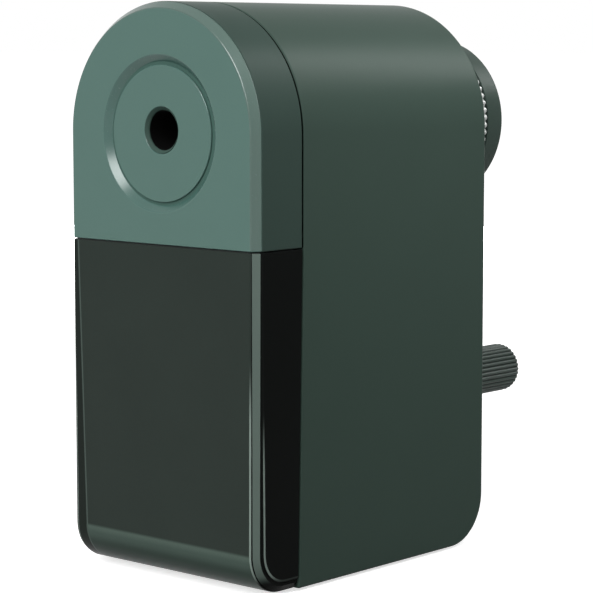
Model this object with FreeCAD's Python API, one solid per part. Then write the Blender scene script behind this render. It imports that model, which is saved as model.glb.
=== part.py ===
import FreeCAD, Part
import math
import os

# Crank pencil sharpener: a round-topped housing with a chamfered front fascia, a smoked shavings
# drawer below it, and a removable cutter unit that a crank turns from the back.
# Millimetres. X points to the right seen from the front, Y runs from the front face to the crank,
# Z is up. The origin is on the table, under the middle of the housing's width and depth.

# Housing and front sizes
BODY_WIDTH = 55.0
BODY_DEPTH = 77.0
ARCH_HEIGHT = 95.5
AXIS_RISE = 0.7
PAD_THICKNESS = 0.6
WALL = 2.2
BACK_WALL = 2.4
REAR_BOTTOM_RADIUS = 11.0
FRONT_DEPTH = 14.6
ARCH_TO_SEAM = 23.2
SEAM_GAP = 0.25
PARTING_LEAN = 1.4
CHAMFER_WIDTH = 1.4
FASCIA_THICKNESS = 2.0
DISH_RADIUS = 16.5
DISH_FLOOR_RADIUS = 14.85
DISH_DEPTH = 0.9
FRAME_PLATE = 2.5
LIP_THICKNESS = 1.2
LIP_LENGTH = 2.0
LIP_CLEARANCE = 0.1

# Screws that hold the front frame, under the fascia
BOSS_RADIUS = 2.8
BOSS_LENGTH = 10.0
BOSS_WALL_BITE = 0.6
UPPER_BOSS_ANGLE = 40.0
LOWER_BOSS_RISE = 6.0
SCREW_HEAD_RADIUS = 2.1
SCREW_HEAD_HEIGHT = 1.4
SCREW_SHANK_RADIUS = 1.2
SCREW_REACH = 8.0
SCREW_CLEARANCE = 0.02
SCREW_SLOT_WIDTH = 0.6
SCREW_SLOT_DEPTH = 0.5

# Pencil guide and front bearing
PENCIL_BORE_RADIUS = 4.2
GUIDE_WALL = 0.65
GUIDE_FLANGE_WIDTH = 2.0
GUIDE_FLANGE_THICKNESS = 1.5
GUIDE_LENGTH = 11.5
GUIDE_MOUTH_CHAMFER = 0.4
GUIDE_CLEARANCE = 0.04
NOSE_BORE_EASE = 0.5
NOSE_WALL = 2.8
NOSE_GAP = 1.0
BUSH_WALL = 1.9
BUSH_LENGTH = 6.0
BUSH_BOSS_WALL = 2.0
RUNNING_CLEARANCE = 0.05
SEAT_CLEARANCE = 0.02

# Shavings drawer
DRAWER_WALL = 1.8
DRAWER_FACE_WALL = 2.4
DRAWER_CORNER_RADIUS = 9.0
DRAWER_CLEARANCE = 0.3
TRAY_TOP_DROP = 6.8
TRAY_BACK_GAP = 10.0

# Foot pad
PAD_SIDE_INSET = 3.5
PAD_FRONT_INSET = 2.5
PAD_CORNER_RADIUS = 4.0

# Lock ring with its bayonet
COLLAR_COVER = 0.8
COLLAR_LENGTH = 13.1
COLLAR_RIBS = 72
COLLAR_RIB_HEIGHT = 0.5
COLLAR_GAP = 0.15
NECK_WALL = 1.0
NECK_CLEARANCE = 0.2
LUG_HEIGHT = 1.4
LUG_THICKNESS = 2.0
LUG_COUNT = 3
LUG_ARC = 30.0
SLOT_ARC = 36.0
LUG_CLEARANCE = 0.2
LOCK_TWIST = 45.0
CUP_WALL = 2.5
CUP_FLOOR_EASE = 0.7
CUP_FLOOR_GAP = 0.6
COLLAR_RELIEF_WALL = 2.0
COLLAR_FLOOR = 4.0

# Cutter and its bevel gears. Distances along the cutter are measured from the apex, the point
# behind the pencil tip where the cutter's axis meets the crank's axis.
CUTTER_TILT = 11.0
CUTTER_RADIUS = 5.75
CUTTER_ROOT_RADIUS = 4.95
CUTTER_BLADES = 18
CUTTER_TWIST = 90.0
CUTTER_STEPS = 9
CUTTER_FLUTE_SHARE = 0.6
CUTTER_NEAR = 27.5
CUTTER_FAR = 51.5
PINION_TEETH = 12
RING_TEETH = 24
PINION_NEAR = 22.0
PINION_FAR = 26.5
PINION_HUB_RADIUS = 3.0
RING_NEAR = 20.5
RING_FAR = 25.4
RING_RADIUS = 12.5
RING_INSET = 7.6
TOOTH_SHARE = 0.42
TOOTH_ADDENDUM = 0.65
TOOTH_DEDENDUM = 0.95
PRESSURE_ANGLE = 20.0
AXLE_RADIUS = 1.5
AXLE_CLEARANCE = 0.05
AXLE_WASHER_RADIUS = 2.8
AXLE_WASHER_THICKNESS = 0.9
AXLE_WASHER_GAP = 0.1

# Carrier that turns with the crank
FLANGE_EASE = 0.8
FLANGE_THICKNESS = 4.0
FLANGE_TO_CUTTER = 3.0
STRUT_EASE = 0.7
STRUT_DROP = 2.5
WEB_THICKNESS = 4.0
WEB_GAP = 1.5
NECK_BAR_RADIUS = 7.4
REAR_DISC_RADIUS = 10.5
REAR_DISC_GAP = 0.7
REAR_DISC_THICKNESS = 4.7
JOURNAL_RADIUS = 6.5
CUTTER_SWEEP_CLEARANCE = 0.6

# Crank, from the lock ring outwards
THRUST_WASHER_THICKNESS = 0.5
THRUST_WASHER_WIDTH = 3.9
HEAD_OVERHANG = 0.5
HEAD_THICKNESS = 4.9
HEAD_EDGE_RADIUS = 0.8
HEAD_FLOOR = 2.0
CAP_RADIUS = 10.0
CAP_THICKNESS = 1.2
CAP_SKIRT = 1.3
CAP_CLEARANCE = 0.05
ARM_LENGTH = 62.9
ARM_HALF_WIDTH = 6.5
ARM_SET_BACK = 0.6
ARM_EDGE_RADIUS = 0.7
SHAFT_RADIUS = 3.0
SHAFT_LENGTH = 12.0
SHAFT_SQUARE_RELIEF = 0.04
SHAFT_PIN_RADIUS = 1.0
SHAFT_PIN_INSET = 6.0
CRANK_SCREW_RADIUS = 1.5
CRANK_SCREW_HEAD_RADIUS = 3.4
CRANK_SCREW_HEAD_HEIGHT = 1.5
CRANK_SCREW_LENGTH = 6.0

# Ribs of the knob and the lock ring, as shares of their pitch
RIB_FOOT_SHARE = 0.9
RIB_CREST_SHARE = 0.4

# Handle knob
KNOB_RADIUS = 5.85
KNOB_LENGTH = 25.1
KNOB_RIBS = 32
KNOB_RIB_HEIGHT = 0.4
KNOB_END_RADIUS = 1.2
KNOB_GAP = 0.15
KNOB_WASHER_RADIUS = 4.6
KNOB_WASHER_THICKNESS = 0.6
KNOB_PIN_RADIUS = 2.0
KNOB_PIN_HEAD_RADIUS = 3.4
KNOB_PIN_HEAD_HEIGHT = 1.2
KNOB_COUNTERBORE_EASE = 0.4
KNOB_COUNTERBORE_DEPTH = 2.4

# Places worked out from the sizes above
HALF_WIDTH = BODY_WIDTH / 2
FRONT = -BODY_DEPTH / 2
BACK = BODY_DEPTH / 2
SEAM = FRONT + FRONT_DEPTH
BASE = PAD_THICKNESS
SEAM_HEIGHT = ARCH_HEIGHT - ARCH_TO_SEAM
AXIS_HEIGHT = ARCH_HEIGHT + AXIS_RISE
BACK_INNER = BACK - BACK_WALL
FRAME_FRONT = FRONT + FASCIA_THICKNESS
FRAME_INNER = FRAME_FRONT + FRAME_PLATE
GUIDE_FRONT = FRONT + DISH_DEPTH
GUIDE_RIM_RADIUS = PENCIL_BORE_RADIUS + GUIDE_WALL
GUIDE_FLANGE_RADIUS = GUIDE_RIM_RADIUS + GUIDE_FLANGE_WIDTH
NOSE_BORE_RADIUS = PENCIL_BORE_RADIUS + NOSE_BORE_EASE
NOSE_RADIUS = NOSE_BORE_RADIUS + NOSE_WALL
GUIDE_END = GUIDE_FRONT + GUIDE_LENGTH
NOSE_FRONT = GUIDE_END + NOSE_GAP
BUSH_RADIUS = NOSE_RADIUS + BUSH_WALL
CUP_RADIUS = RING_RADIUS + CUP_WALL
CUP_FLOOR_RADIUS = REAR_DISC_RADIUS + CUP_FLOOR_EASE
NECK_RADIUS = CUP_RADIUS + NECK_WALL
LUG_RADIUS = NECK_RADIUS + LUG_HEIGHT
COLLAR_RADIUS = LUG_RADIUS + COLLAR_COVER
HEAD_RADIUS = COLLAR_RADIUS + HEAD_OVERHANG
FLANGE_RADIUS = NECK_RADIUS - FLANGE_EASE
STRUT_INNER_RADIUS = NOSE_RADIUS + STRUT_EASE
THRUST_WASHER_RADIUS = JOURNAL_RADIUS + THRUST_WASHER_WIDTH
SHAFT_SQUARE = SHAFT_RADIUS * math.sqrt(2) - SHAFT_SQUARE_RELIEF
KNOB_COUNTERBORE_RADIUS = KNOB_PIN_HEAD_RADIUS + KNOB_COUNTERBORE_EASE
COLLAR_START = BACK + COLLAR_GAP
COLLAR_END = BACK + COLLAR_LENGTH
RING_BACK = BACK - RING_INSET
RING_FRONT = RING_BACK - (RING_FAR - RING_NEAR)
APEX = RING_BACK + RING_NEAR
TILT = math.radians(CUTTER_TILT)
REAR_DISC_FRONT = RING_BACK + REAR_DISC_GAP
REAR_DISC_BACK = REAR_DISC_FRONT + REAR_DISC_THICKNESS
CUP_FLOOR = REAR_DISC_BACK + CUP_FLOOR_GAP
REAR_BUSH_RADIUS = JOURNAL_RADIUS + BUSH_WALL
HEAD_FRONT = COLLAR_END + COLLAR_GAP + THRUST_WASHER_THICKNESS
HEAD_BACK = HEAD_FRONT + HEAD_THICKNESS
HEAD_RECESS = HEAD_FRONT + HEAD_FLOOR
ARM_FRONT = HEAD_FRONT + ARM_SET_BACK
KNOB_HEIGHT = AXIS_HEIGHT - ARM_LENGTH
KNOB_START = HEAD_BACK + KNOB_WASHER_THICKNESS + KNOB_GAP
KNOB_END = KNOB_START + KNOB_LENGTH
SPARE = 1.0
TOUCH = 0.0001

V = FreeCAD.Vector
ALONG = V(0, 1, 0)


def disc(radius, start, end, x=0.0, z=AXIS_HEIGHT):
    return Part.makeCylinder(radius, end - start, V(x, start, z), ALONG)


def tube(outer, inner, start, end, x=0.0, z=AXIS_HEIGHT):
    return disc(outer, start, end, x, z).cut(disc(inner, start - SPARE, end + SPARE, x, z))


def block(x_low, x_high, y_low, y_high, z_low, z_high):
    return Part.makeBox(x_high - x_low, y_high - y_low, z_high - z_low, V(x_low, y_low, z_low))


def side_prism(points, x_low, x_high):
    corners = [V(x_low, y, z) for y, z in points]
    outline = Part.makePolygon(corners + corners[:1])
    return Part.Face(outline).extrude(V(x_high - x_low, 0, 0))


def arch_wire(half_width, low, y):
    left_foot = V(-half_width, y, low)
    left_shoulder = V(-half_width, y, ARCH_HEIGHT)
    crown = V(0, y, ARCH_HEIGHT + half_width)
    right_shoulder = V(half_width, y, ARCH_HEIGHT)
    right_foot = V(half_width, y, low)
    return Part.Wire([
        Part.LineSegment(left_foot, left_shoulder).toShape(),
        Part.Arc(left_shoulder, crown, right_shoulder).toShape(),
        Part.LineSegment(right_shoulder, right_foot).toShape(),
        Part.LineSegment(right_foot, left_foot).toShape(),
    ])


def arch(half_width, low, start, end):
    return Part.Face(arch_wire(half_width, low, start)).extrude(V(0, end - start, 0))


def edges_at(shape, y, z=None):
    """Edges that lie wholly on a plane across Y and, where z is given, on a level too."""
    found = []
    for edge in shape.Edges:
        box = edge.BoundBox
        on_plane = max(abs(box.YMin - y), abs(box.YMax - y)) < TOUCH
        on_level = z is None or max(abs(box.ZMin - z), abs(box.ZMax - z)) < TOUCH
        if on_plane and on_level:
            found.append(edge)
    return found


def star_wire(points, y, z=AXIS_HEIGHT):
    """A closed outline across Y, from polar points measured from straight up."""
    corners = [V(radius * math.sin(angle), y, z + radius * math.cos(angle)) for radius, angle in points]
    return Part.makePolygon(corners + corners[:1])


def rib_points(radius, height, count):
    """Flat-topped ribs round a rim."""
    pitch = 2 * math.pi / count
    foot = pitch * RIB_FOOT_SHARE / 2
    crest = pitch * RIB_CREST_SHARE / 2
    points = []
    for rib in range(count):
        middle = rib * pitch
        points += [(radius - height, middle - foot), (radius, middle - crest)]
        points += [(radius, middle + crest), (radius - height, middle + foot)]
    return points


def tooth_points(count, inner, outer, inner_half, outer_half):
    points = []
    for tooth in range(count):
        middle = 2 * math.pi * tooth / count
        points += [(inner, middle - inner_half / inner), (outer, middle - outer_half / outer)]
        points += [(outer, middle + outer_half / outer), (inner, middle + inner_half / inner)]
    return points


def on_cutter_axis(shape):
    """Moves a shape made along -Y from the origin so that the origin is at the apex."""
    shape = shape.copy()
    shape.rotate(V(0, 0, 0), V(1, 0, 0), -CUTTER_TILT)
    shape.translate(V(0, APEX, AXIS_HEIGHT))
    return shape


def cutter_disc(radius, near, far):
    return on_cutter_axis(disc(radius, -far, -near, z=0.0))


def screw(head_radius, head_height, shank_radius, length, head_y, x, z, towards):
    """A slotted screw whose head sits on head_y and whose shank runs towards +Y or -Y."""
    head_end = head_y - towards * head_height
    shank_end = head_y + towards * length
    head = disc(head_radius, min(head_y, head_end), max(head_y, head_end), x, z)
    shank = disc(shank_radius, min(head_y, shank_end), max(head_y, shank_end), x, z)
    slot_floor = head_end + towards * SCREW_SLOT_DEPTH
    slot = block(x - head_radius, x + head_radius, min(head_end, slot_floor), max(head_end, slot_floor),
                 z - SCREW_SLOT_WIDTH / 2, z + SCREW_SLOT_WIDTH / 2)
    return head.fuse(shank).removeSplitter().cut(slot)


def boss_places():
    arm = HALF_WIDTH - WALL - BOSS_RADIUS + BOSS_WALL_BITE
    turn = math.radians(UPPER_BOSS_ANGLE)
    places = []
    for side in (-1, 1):
        places.append((side * arm * math.cos(turn), ARCH_HEIGHT + arm * math.sin(turn)))
        places.append((side * arm, SEAM_HEIGHT + LOWER_BOSS_RISE))
    return places


def sector(radius, arc, middle, start, end):
    """A pie slice across Y, centred on an angle measured from straight up."""
    half = math.radians(arc) / 2
    turn = math.radians(middle)
    rim = [turn - half, turn, turn + half]
    centre = V(0, start, AXIS_HEIGHT)
    corners = [V(radius * math.sin(a), start, AXIS_HEIGHT + radius * math.cos(a)) for a in rim]
    outline = Part.Wire([
        Part.LineSegment(centre, corners[0]).toShape(),
        Part.Arc(*corners).toShape(),
        Part.LineSegment(corners[2], centre).toShape(),
    ])
    return Part.Face(outline).extrude(V(0, end - start, 0))


def bayonet_sectors(radius, arc, offset, start, end):
    step = 360.0 / LUG_COUNT
    slices = [sector(radius, arc, offset + step * number, start, end) for number in range(LUG_COUNT)]
    return slices[0].multiFuse(slices[1:])


def parting_wedge(gap, half_width):
    """The sliver between the upright seam and the leaning parting line of the drawer."""
    points = [(SEAM - gap, SEAM_HEIGHT), (SEAM - PARTING_LEAN - gap, BASE), (SEAM, BASE), (SEAM, SEAM_HEIGHT)]
    return side_prism(points, -half_width, half_width)


def housing_shell():
    outer = arch(HALF_WIDTH, BASE, SEAM, BACK)
    outer = outer.makeFillet(REAR_BOTTOM_RADIUS, edges_at(outer, y=BACK, z=BASE))
    outer = outer.fuse(parting_wedge(0.0, HALF_WIDTH)).removeSplitter()
    inner = arch(HALF_WIDTH - WALL, BASE + WALL, SEAM, BACK_INNER)
    inner = inner.makeFillet(REAR_BOTTOM_RADIUS - WALL, edges_at(inner, y=BACK_INNER, z=BASE + WALL))
    mouth = block(-HALF_WIDTH + WALL, HALF_WIDTH - WALL, SEAM - PARTING_LEAN - SPARE, SEAM,
                  BASE + WALL, SEAM_HEIGHT + SPARE)
    shell = outer.cut(inner).cut(mouth)
    bosses = [disc(BOSS_RADIUS, SEAM, SEAM + BOSS_LENGTH, x, z) for x, z in boss_places()]
    shell = shell.multiFuse(bosses)
    holes = [disc(SCREW_SHANK_RADIUS + SCREW_CLEARANCE, SEAM - SPARE, SEAM + SCREW_REACH + SPARE, x, z)
             for x, z in boss_places()]
    opening = disc(NECK_RADIUS + NECK_CLEARANCE, BACK_INNER - SPARE, BACK + SPARE)
    slots = bayonet_sectors(LUG_RADIUS + NECK_CLEARANCE, SLOT_ARC, 0.0, BACK_INNER - SPARE, BACK + SPARE)
    return shell.cut(Part.makeCompound(holes)).cut(opening.fuse(slots)).removeSplitter()


def front_frame():
    rear = SEAM - SEAM_GAP
    shell = arch(HALF_WIDTH, SEAM_HEIGHT, FRAME_FRONT, rear)
    shell = shell.cut(arch(HALF_WIDTH - WALL, SEAM_HEIGHT + WALL, FRAME_INNER, rear + SPARE))
    lip_outer = HALF_WIDTH - WALL - LIP_CLEARANCE
    lip = arch(lip_outer, SEAM_HEIGHT + WALL, rear - LIP_LENGTH, SEAM + LIP_LENGTH)
    lip_inner = lip_outer - LIP_THICKNESS
    lip = lip.cut(arch(lip_inner, SEAM_HEIGHT, rear - LIP_LENGTH - SPARE, SEAM + LIP_LENGTH + SPARE))
    lip_root = arch(HALF_WIDTH - SPARE, SEAM_HEIGHT, rear - LIP_LENGTH, rear)
    lip_root = lip_root.cut(arch(lip_inner, SEAM_HEIGHT - SPARE, rear - LIP_LENGTH - SPARE, rear + SPARE))
    reliefs = [disc(BOSS_RADIUS + LIP_CLEARANCE, SEAM, SEAM + LIP_LENGTH + SPARE, x, z)
               for x, z in boss_places()]
    lip = lip.cut(Part.makeCompound(reliefs))
    bosses = [disc(BOSS_RADIUS, FRAME_INNER - SPARE, SEAM, x, z) for x, z in boss_places()]
    bush_boss = disc(BUSH_RADIUS + BUSH_BOSS_WALL, FRAME_INNER - SPARE, NOSE_FRONT + BUSH_LENGTH)
    solid = shell.multiFuse([lip, lip_root, bush_boss] + bosses)
    cuts = [disc(BUSH_RADIUS + SEAT_CLEARANCE, FRAME_INNER, NOSE_FRONT + BUSH_LENGTH + SPARE)]
    cuts.append(disc(GUIDE_RIM_RADIUS + GUIDE_CLEARANCE, FRAME_FRONT - SPARE, FRAME_INNER + SPARE))
    for x, z in boss_places():
        cuts.append(disc(SCREW_SHANK_RADIUS + SCREW_CLEARANCE, FRAME_FRONT - SPARE, SEAM + SPARE, x, z))
        cuts.append(disc(SCREW_HEAD_RADIUS + SCREW_CLEARANCE, FRAME_FRONT - SPARE,
                         FRAME_FRONT + SCREW_HEAD_HEIGHT, x, z))
    return solid.cut(Part.makeCompound(cuts)).removeSplitter()


def front_fascia():
    front_outline = arch_wire(HALF_WIDTH - CHAMFER_WIDTH, SEAM_HEIGHT, FRONT)
    rear_outline = arch_wire(HALF_WIDTH, SEAM_HEIGHT, FRAME_FRONT)
    plate = Part.makeLoft([front_outline, rear_outline], True, True)
    dish = Part.makeCone(DISH_RADIUS, DISH_FLOOR_RADIUS, DISH_DEPTH, V(0, FRONT, ARCH_HEIGHT), ALONG)
    hole = disc(GUIDE_RIM_RADIUS + GUIDE_CLEARANCE, FRONT - SPARE, FRAME_FRONT + SPARE)
    return plate.cut(dish).cut(hole)


def frame_screws():
    seat = FRAME_FRONT + SCREW_HEAD_HEIGHT
    length = SEAM + SCREW_REACH - seat
    return [screw(SCREW_HEAD_RADIUS, SCREW_HEAD_HEIGHT, SCREW_SHANK_RADIUS, length, seat, x, z, 1)
            for x, z in boss_places()]


def pencil_guide():
    body = disc(GUIDE_RIM_RADIUS, GUIDE_FRONT, GUIDE_END)
    flange = disc(GUIDE_FLANGE_RADIUS, FRAME_INNER, FRAME_INNER + GUIDE_FLANGE_THICKNESS)
    bore = disc(PENCIL_BORE_RADIUS, GUIDE_FRONT - SPARE, GUIDE_END + SPARE)
    mouth = Part.makeCone(PENCIL_BORE_RADIUS + GUIDE_MOUTH_CHAMFER, PENCIL_BORE_RADIUS, GUIDE_MOUTH_CHAMFER,
                          V(0, GUIDE_FRONT, AXIS_HEIGHT), ALONG)
    return body.fuse(flange).cut(bore).cut(mouth).removeSplitter()


def front_bush():
    return tube(BUSH_RADIUS, NOSE_RADIUS + RUNNING_CLEARANCE, NOSE_FRONT, NOSE_FRONT + BUSH_LENGTH)


def rear_bush():
    return tube(REAR_BUSH_RADIUS, JOURNAL_RADIUS + RUNNING_CLEARANCE, CUP_FLOOR, COLLAR_END)


def shavings_drawer():
    top = SEAM_HEIGHT - DRAWER_CLEARANCE
    tray_half = HALF_WIDTH - WALL - DRAWER_CLEARANCE
    tray_low = BASE + WALL + DRAWER_CLEARANCE
    tray_back = BACK_INNER - TRAY_BACK_GAP
    tray = block(-tray_half, tray_half, FRONT + DRAWER_CORNER_RADIUS, tray_back,
                 tray_low, SEAM_HEIGHT - TRAY_TOP_DROP)
    floor = tray_low + DRAWER_WALL
    face_half = HALF_WIDTH - DRAWER_FACE_WALL
    face_hollow = block(-face_half, face_half, FRONT + DRAWER_FACE_WALL,
                        SEAM - PARTING_LEAN - DRAWER_CLEARANCE - DRAWER_WALL, floor, top + SPARE)
    face_hollow = face_hollow.makeFillet(DRAWER_CORNER_RADIUS - DRAWER_FACE_WALL,
                                         edges_at(face_hollow, y=FRONT + DRAWER_FACE_WALL, z=floor))
    tray_hollow = block(-tray_half + DRAWER_WALL, tray_half - DRAWER_WALL, FRONT + DRAWER_CORNER_RADIUS,
                        tray_back - DRAWER_WALL, floor, top + SPARE)
    return drawer_face().fuse(tray).cut(face_hollow).cut(tray_hollow).removeSplitter()


def drawer_face_outline(inset, x):
    """The drawer face's side view at one x, set in at the front, round the corner and below."""
    top = SEAM_HEIGHT - DRAWER_CLEARANCE
    front = FRONT + inset
    low = BASE + inset
    round_y = FRONT + DRAWER_CORNER_RADIUS
    round_z = BASE + DRAWER_CORNER_RADIUS
    slant = (DRAWER_CORNER_RADIUS - inset) * math.cos(math.pi / 4)
    points = [V(x, front, top), V(x, front, round_z), V(x, round_y, low), V(x, SEAM, low), V(x, SEAM, top)]
    middle = V(x, round_y - slant, round_z - slant)
    return Part.Wire([
        Part.LineSegment(points[0], points[1]).toShape(),
        Part.Arc(points[1], middle, points[2]).toShape(),
        Part.LineSegment(points[2], points[3]).toShape(),
        Part.LineSegment(points[3], points[4]).toShape(),
        Part.LineSegment(points[4], points[0]).toShape(),
    ])


def drawer_face():
    """A solid face whose chamfer runs down both sides, round the lower corner and along the bottom."""
    flat_half = HALF_WIDTH - CHAMFER_WIDTH
    outline = drawer_face_outline(0.0, -flat_half)
    face = Part.Face(outline).extrude(V(2 * flat_half, 0, 0))
    for side in (-1, 1):
        inner = drawer_face_outline(0.0, side * flat_half)
        outer = drawer_face_outline(FASCIA_THICKNESS, side * HALF_WIDTH)
        face = face.fuse(Part.makeLoft([inner, outer], True, True))
    return face.removeSplitter().cut(parting_wedge(DRAWER_CLEARANCE, HALF_WIDTH + SPARE))


def foot_pad():
    pad = block(-HALF_WIDTH + PAD_SIDE_INSET, HALF_WIDTH - PAD_SIDE_INSET, SEAM + PAD_FRONT_INSET,
                BACK - REAR_BOTTOM_RADIUS - PAD_FRONT_INSET, 0, BASE)
    upright = [edge for edge in pad.Edges if edge.BoundBox.ZLength > PAD_THICKNESS / 2]
    return pad.makeFillet(PAD_CORNER_RADIUS, upright)


def lock_ring():
    outline = star_wire(rib_points(COLLAR_RADIUS, COLLAR_RIB_HEIGHT, COLLAR_RIBS), COLLAR_START)
    collar = Part.Face(outline).extrude(V(0, COLLAR_END - COLLAR_START, 0))
    lug_back = BACK_INNER - LUG_CLEARANCE
    neck = disc(NECK_RADIUS, lug_back - LUG_THICKNESS, COLLAR_START)
    lugs = bayonet_sectors(LUG_RADIUS, LUG_ARC, LOCK_TWIST, lug_back - LUG_THICKNESS, lug_back)
    cup = disc(CUP_RADIUS, RING_FRONT, BACK)
    solid = collar.multiFuse([neck, lugs, cup])
    cuts = [disc(RING_RADIUS + SEAT_CLEARANCE, RING_FRONT - SPARE, RING_BACK)]
    cuts.append(disc(CUP_FLOOR_RADIUS, RING_BACK - SPARE, CUP_FLOOR))
    cuts.append(disc(REAR_BUSH_RADIUS + SEAT_CLEARANCE, CUP_FLOOR - SPARE, COLLAR_END + SPARE))
    relief_inner = REAR_BUSH_RADIUS + COLLAR_RELIEF_WALL
    relief_outer = COLLAR_RADIUS - COLLAR_RIB_HEIGHT - COLLAR_RELIEF_WALL
    cuts.append(tube(relief_outer, relief_inner, BACK + COLLAR_FLOOR, COLLAR_END + SPARE))
    for cut in cuts:
        solid = solid.cut(cut)
    return solid.removeSplitter()


def pitch_cones():
    ratio = RING_TEETH / PINION_TEETH
    pinion = math.atan(math.sin(TILT) / (ratio - math.cos(TILT)))
    return pinion, pinion + TILT


def pinion_outline(distance):
    cone = pitch_cones()[0]
    pitch = distance * math.tan(cone)
    module = 2 * pitch / PINION_TEETH
    slope = math.tan(math.radians(PRESSURE_ANGLE))
    half = TOOTH_SHARE * math.pi * module / 2
    rise = TOOTH_ADDENDUM * module
    drop = TOOTH_DEDENDUM * module
    points = tooth_points(PINION_TEETH, pitch - drop, pitch + rise, half + drop * slope, half - rise * slope)
    return star_wire(points, -distance, z=0.0)


def ring_space_outline(distance):
    cone = pitch_cones()[1]
    pitch = distance * math.tan(cone)
    module = 2 * pitch / RING_TEETH
    slope = math.tan(math.radians(PRESSURE_ANGLE))
    half = (1 - TOOTH_SHARE) * math.pi * module / 2
    rise = TOOTH_ADDENDUM * module
    drop = TOOTH_DEDENDUM * module
    points = tooth_points(RING_TEETH, pitch - rise, pitch + drop, half + rise * slope, half - drop * slope)
    return star_wire(points, APEX - distance)


def ring_gear():
    blank = disc(RING_RADIUS, RING_FRONT, RING_BACK)
    outlines = [ring_space_outline(RING_NEAR - SPARE), ring_space_outline(RING_FAR + SPARE)]
    space = Part.makeLoft(outlines, True, True)
    return blank.cut(space)


def cutter_pinion():
    teeth = Part.makeLoft([pinion_outline(PINION_NEAR), pinion_outline(PINION_FAR)], True, True)
    bore = disc(AXLE_RADIUS + AXLE_CLEARANCE, -CUTTER_NEAR - SPARE, -PINION_NEAR + SPARE, z=0.0)
    hub = disc(PINION_HUB_RADIUS, -CUTTER_NEAR, -PINION_FAR + SPARE, z=0.0)
    return on_cutter_axis(teeth.fuse(hub).cut(bore).removeSplitter())


def helical_cutter():
    pitch = 2 * math.pi / CUTTER_BLADES
    sections = []
    for step in range(CUTTER_STEPS + 1):
        share = step / CUTTER_STEPS
        turn = math.radians(CUTTER_TWIST) * share
        points = []
        for blade in range(CUTTER_BLADES):
            edge = turn + blade * pitch
            points += [(CUTTER_RADIUS, edge), (CUTTER_ROOT_RADIUS, edge + pitch * CUTTER_FLUTE_SHARE)]
        sections.append(star_wire(points, -CUTTER_FAR + share * (CUTTER_FAR - CUTTER_NEAR), z=0.0))
    blank = Part.makeLoft(sections, True, True)
    bore = disc(AXLE_RADIUS + AXLE_CLEARANCE, -CUTTER_FAR - SPARE, -CUTTER_NEAR + SPARE, z=0.0)
    return on_cutter_axis(blank.cut(bore))


def axle_ends():
    """Distances from the apex at which the axle comes out of the rear disc and the front flange."""
    near = (APEX - REAR_DISC_BACK) / math.cos(TILT) + SPARE
    far = (APEX - flange_front()) / math.cos(TILT) - SPARE
    return near, far


def flange_front():
    return APEX - CUTTER_FAR * math.cos(TILT) - FLANGE_TO_CUTTER - FLANGE_THICKNESS


def cutter_axle():
    near, far = axle_ends()
    return cutter_disc(AXLE_RADIUS, near, far)


def axle_washers():
    washers = []
    front_far = CUTTER_FAR + AXLE_WASHER_GAP + AXLE_WASHER_THICKNESS
    rear_near = PINION_NEAR - AXLE_WASHER_GAP - AXLE_WASHER_THICKNESS
    for near in (CUTTER_FAR + AXLE_WASHER_GAP, rear_near):
        far = near + AXLE_WASHER_THICKNESS
        hole = cutter_disc(AXLE_RADIUS + SEAT_CLEARANCE, rear_near - SPARE, front_far + SPARE)
        washers.append(cutter_disc(AXLE_WASHER_RADIUS, near, far).cut(hole))
    return washers


def cutter_carrier():
    flange_back = flange_front() + FLANGE_THICKNESS
    web_back = RING_FRONT - WEB_GAP
    below = block(-FLANGE_RADIUS, FLANGE_RADIUS, flange_front(), REAR_DISC_BACK,
                  AXIS_HEIGHT - FLANGE_RADIUS, AXIS_HEIGHT - STRUT_DROP)
    strut = tube(FLANGE_RADIUS, STRUT_INNER_RADIUS, flange_back - SPARE, web_back).common(below)
    web = disc(FLANGE_RADIUS, web_back - WEB_THICKNESS, web_back).common(below)
    neck = disc(NECK_BAR_RADIUS, web_back - WEB_THICKNESS, REAR_DISC_FRONT + SPARE).common(below)
    nose = disc(NOSE_RADIUS, NOSE_FRONT, flange_back)
    flange = disc(FLANGE_RADIUS, flange_front(), flange_back)
    rear = disc(REAR_DISC_RADIUS, REAR_DISC_FRONT, REAR_DISC_BACK)
    journal = disc(JOURNAL_RADIUS, REAR_DISC_FRONT, HEAD_FRONT)
    solid = nose.multiFuse([flange, strut, web, neck, rear, journal])
    near, far = axle_ends()
    sweep = CUTTER_RADIUS + CUTTER_SWEEP_CLEARANCE
    cuts = [disc(NOSE_BORE_RADIUS, NOSE_FRONT - SPARE, flange_back + SPARE)]
    cuts.append(cutter_disc(AXLE_RADIUS + SEAT_CLEARANCE, near - SPARE / 2, far + SPARE / 2))
    cuts.append(cutter_disc(sweep, PINION_FAR, CUTTER_FAR + AXLE_WASHER_GAP + AXLE_WASHER_THICKNESS))
    cuts.append(disc(SHAFT_RADIUS + SEAT_CLEARANCE, HEAD_FRONT - SHAFT_LENGTH, HEAD_FRONT + SPARE))
    cuts.append(shaft_pin_blank(SEAT_CLEARANCE))
    for cut in cuts:
        solid = solid.cut(cut)
    return solid.removeSplitter()


def shaft_pin_blank(clearance):
    half = JOURNAL_RADIUS - RUNNING_CLEARANCE + clearance
    start = V(-half, HEAD_FRONT - SHAFT_PIN_INSET, AXIS_HEIGHT)
    return Part.makeCylinder(SHAFT_PIN_RADIUS + clearance, 2 * half, start, V(1, 0, 0))


def square_bar(side, start, end):
    return block(-side / 2, side / 2, start, end, AXIS_HEIGHT - side / 2, AXIS_HEIGHT + side / 2)


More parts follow.
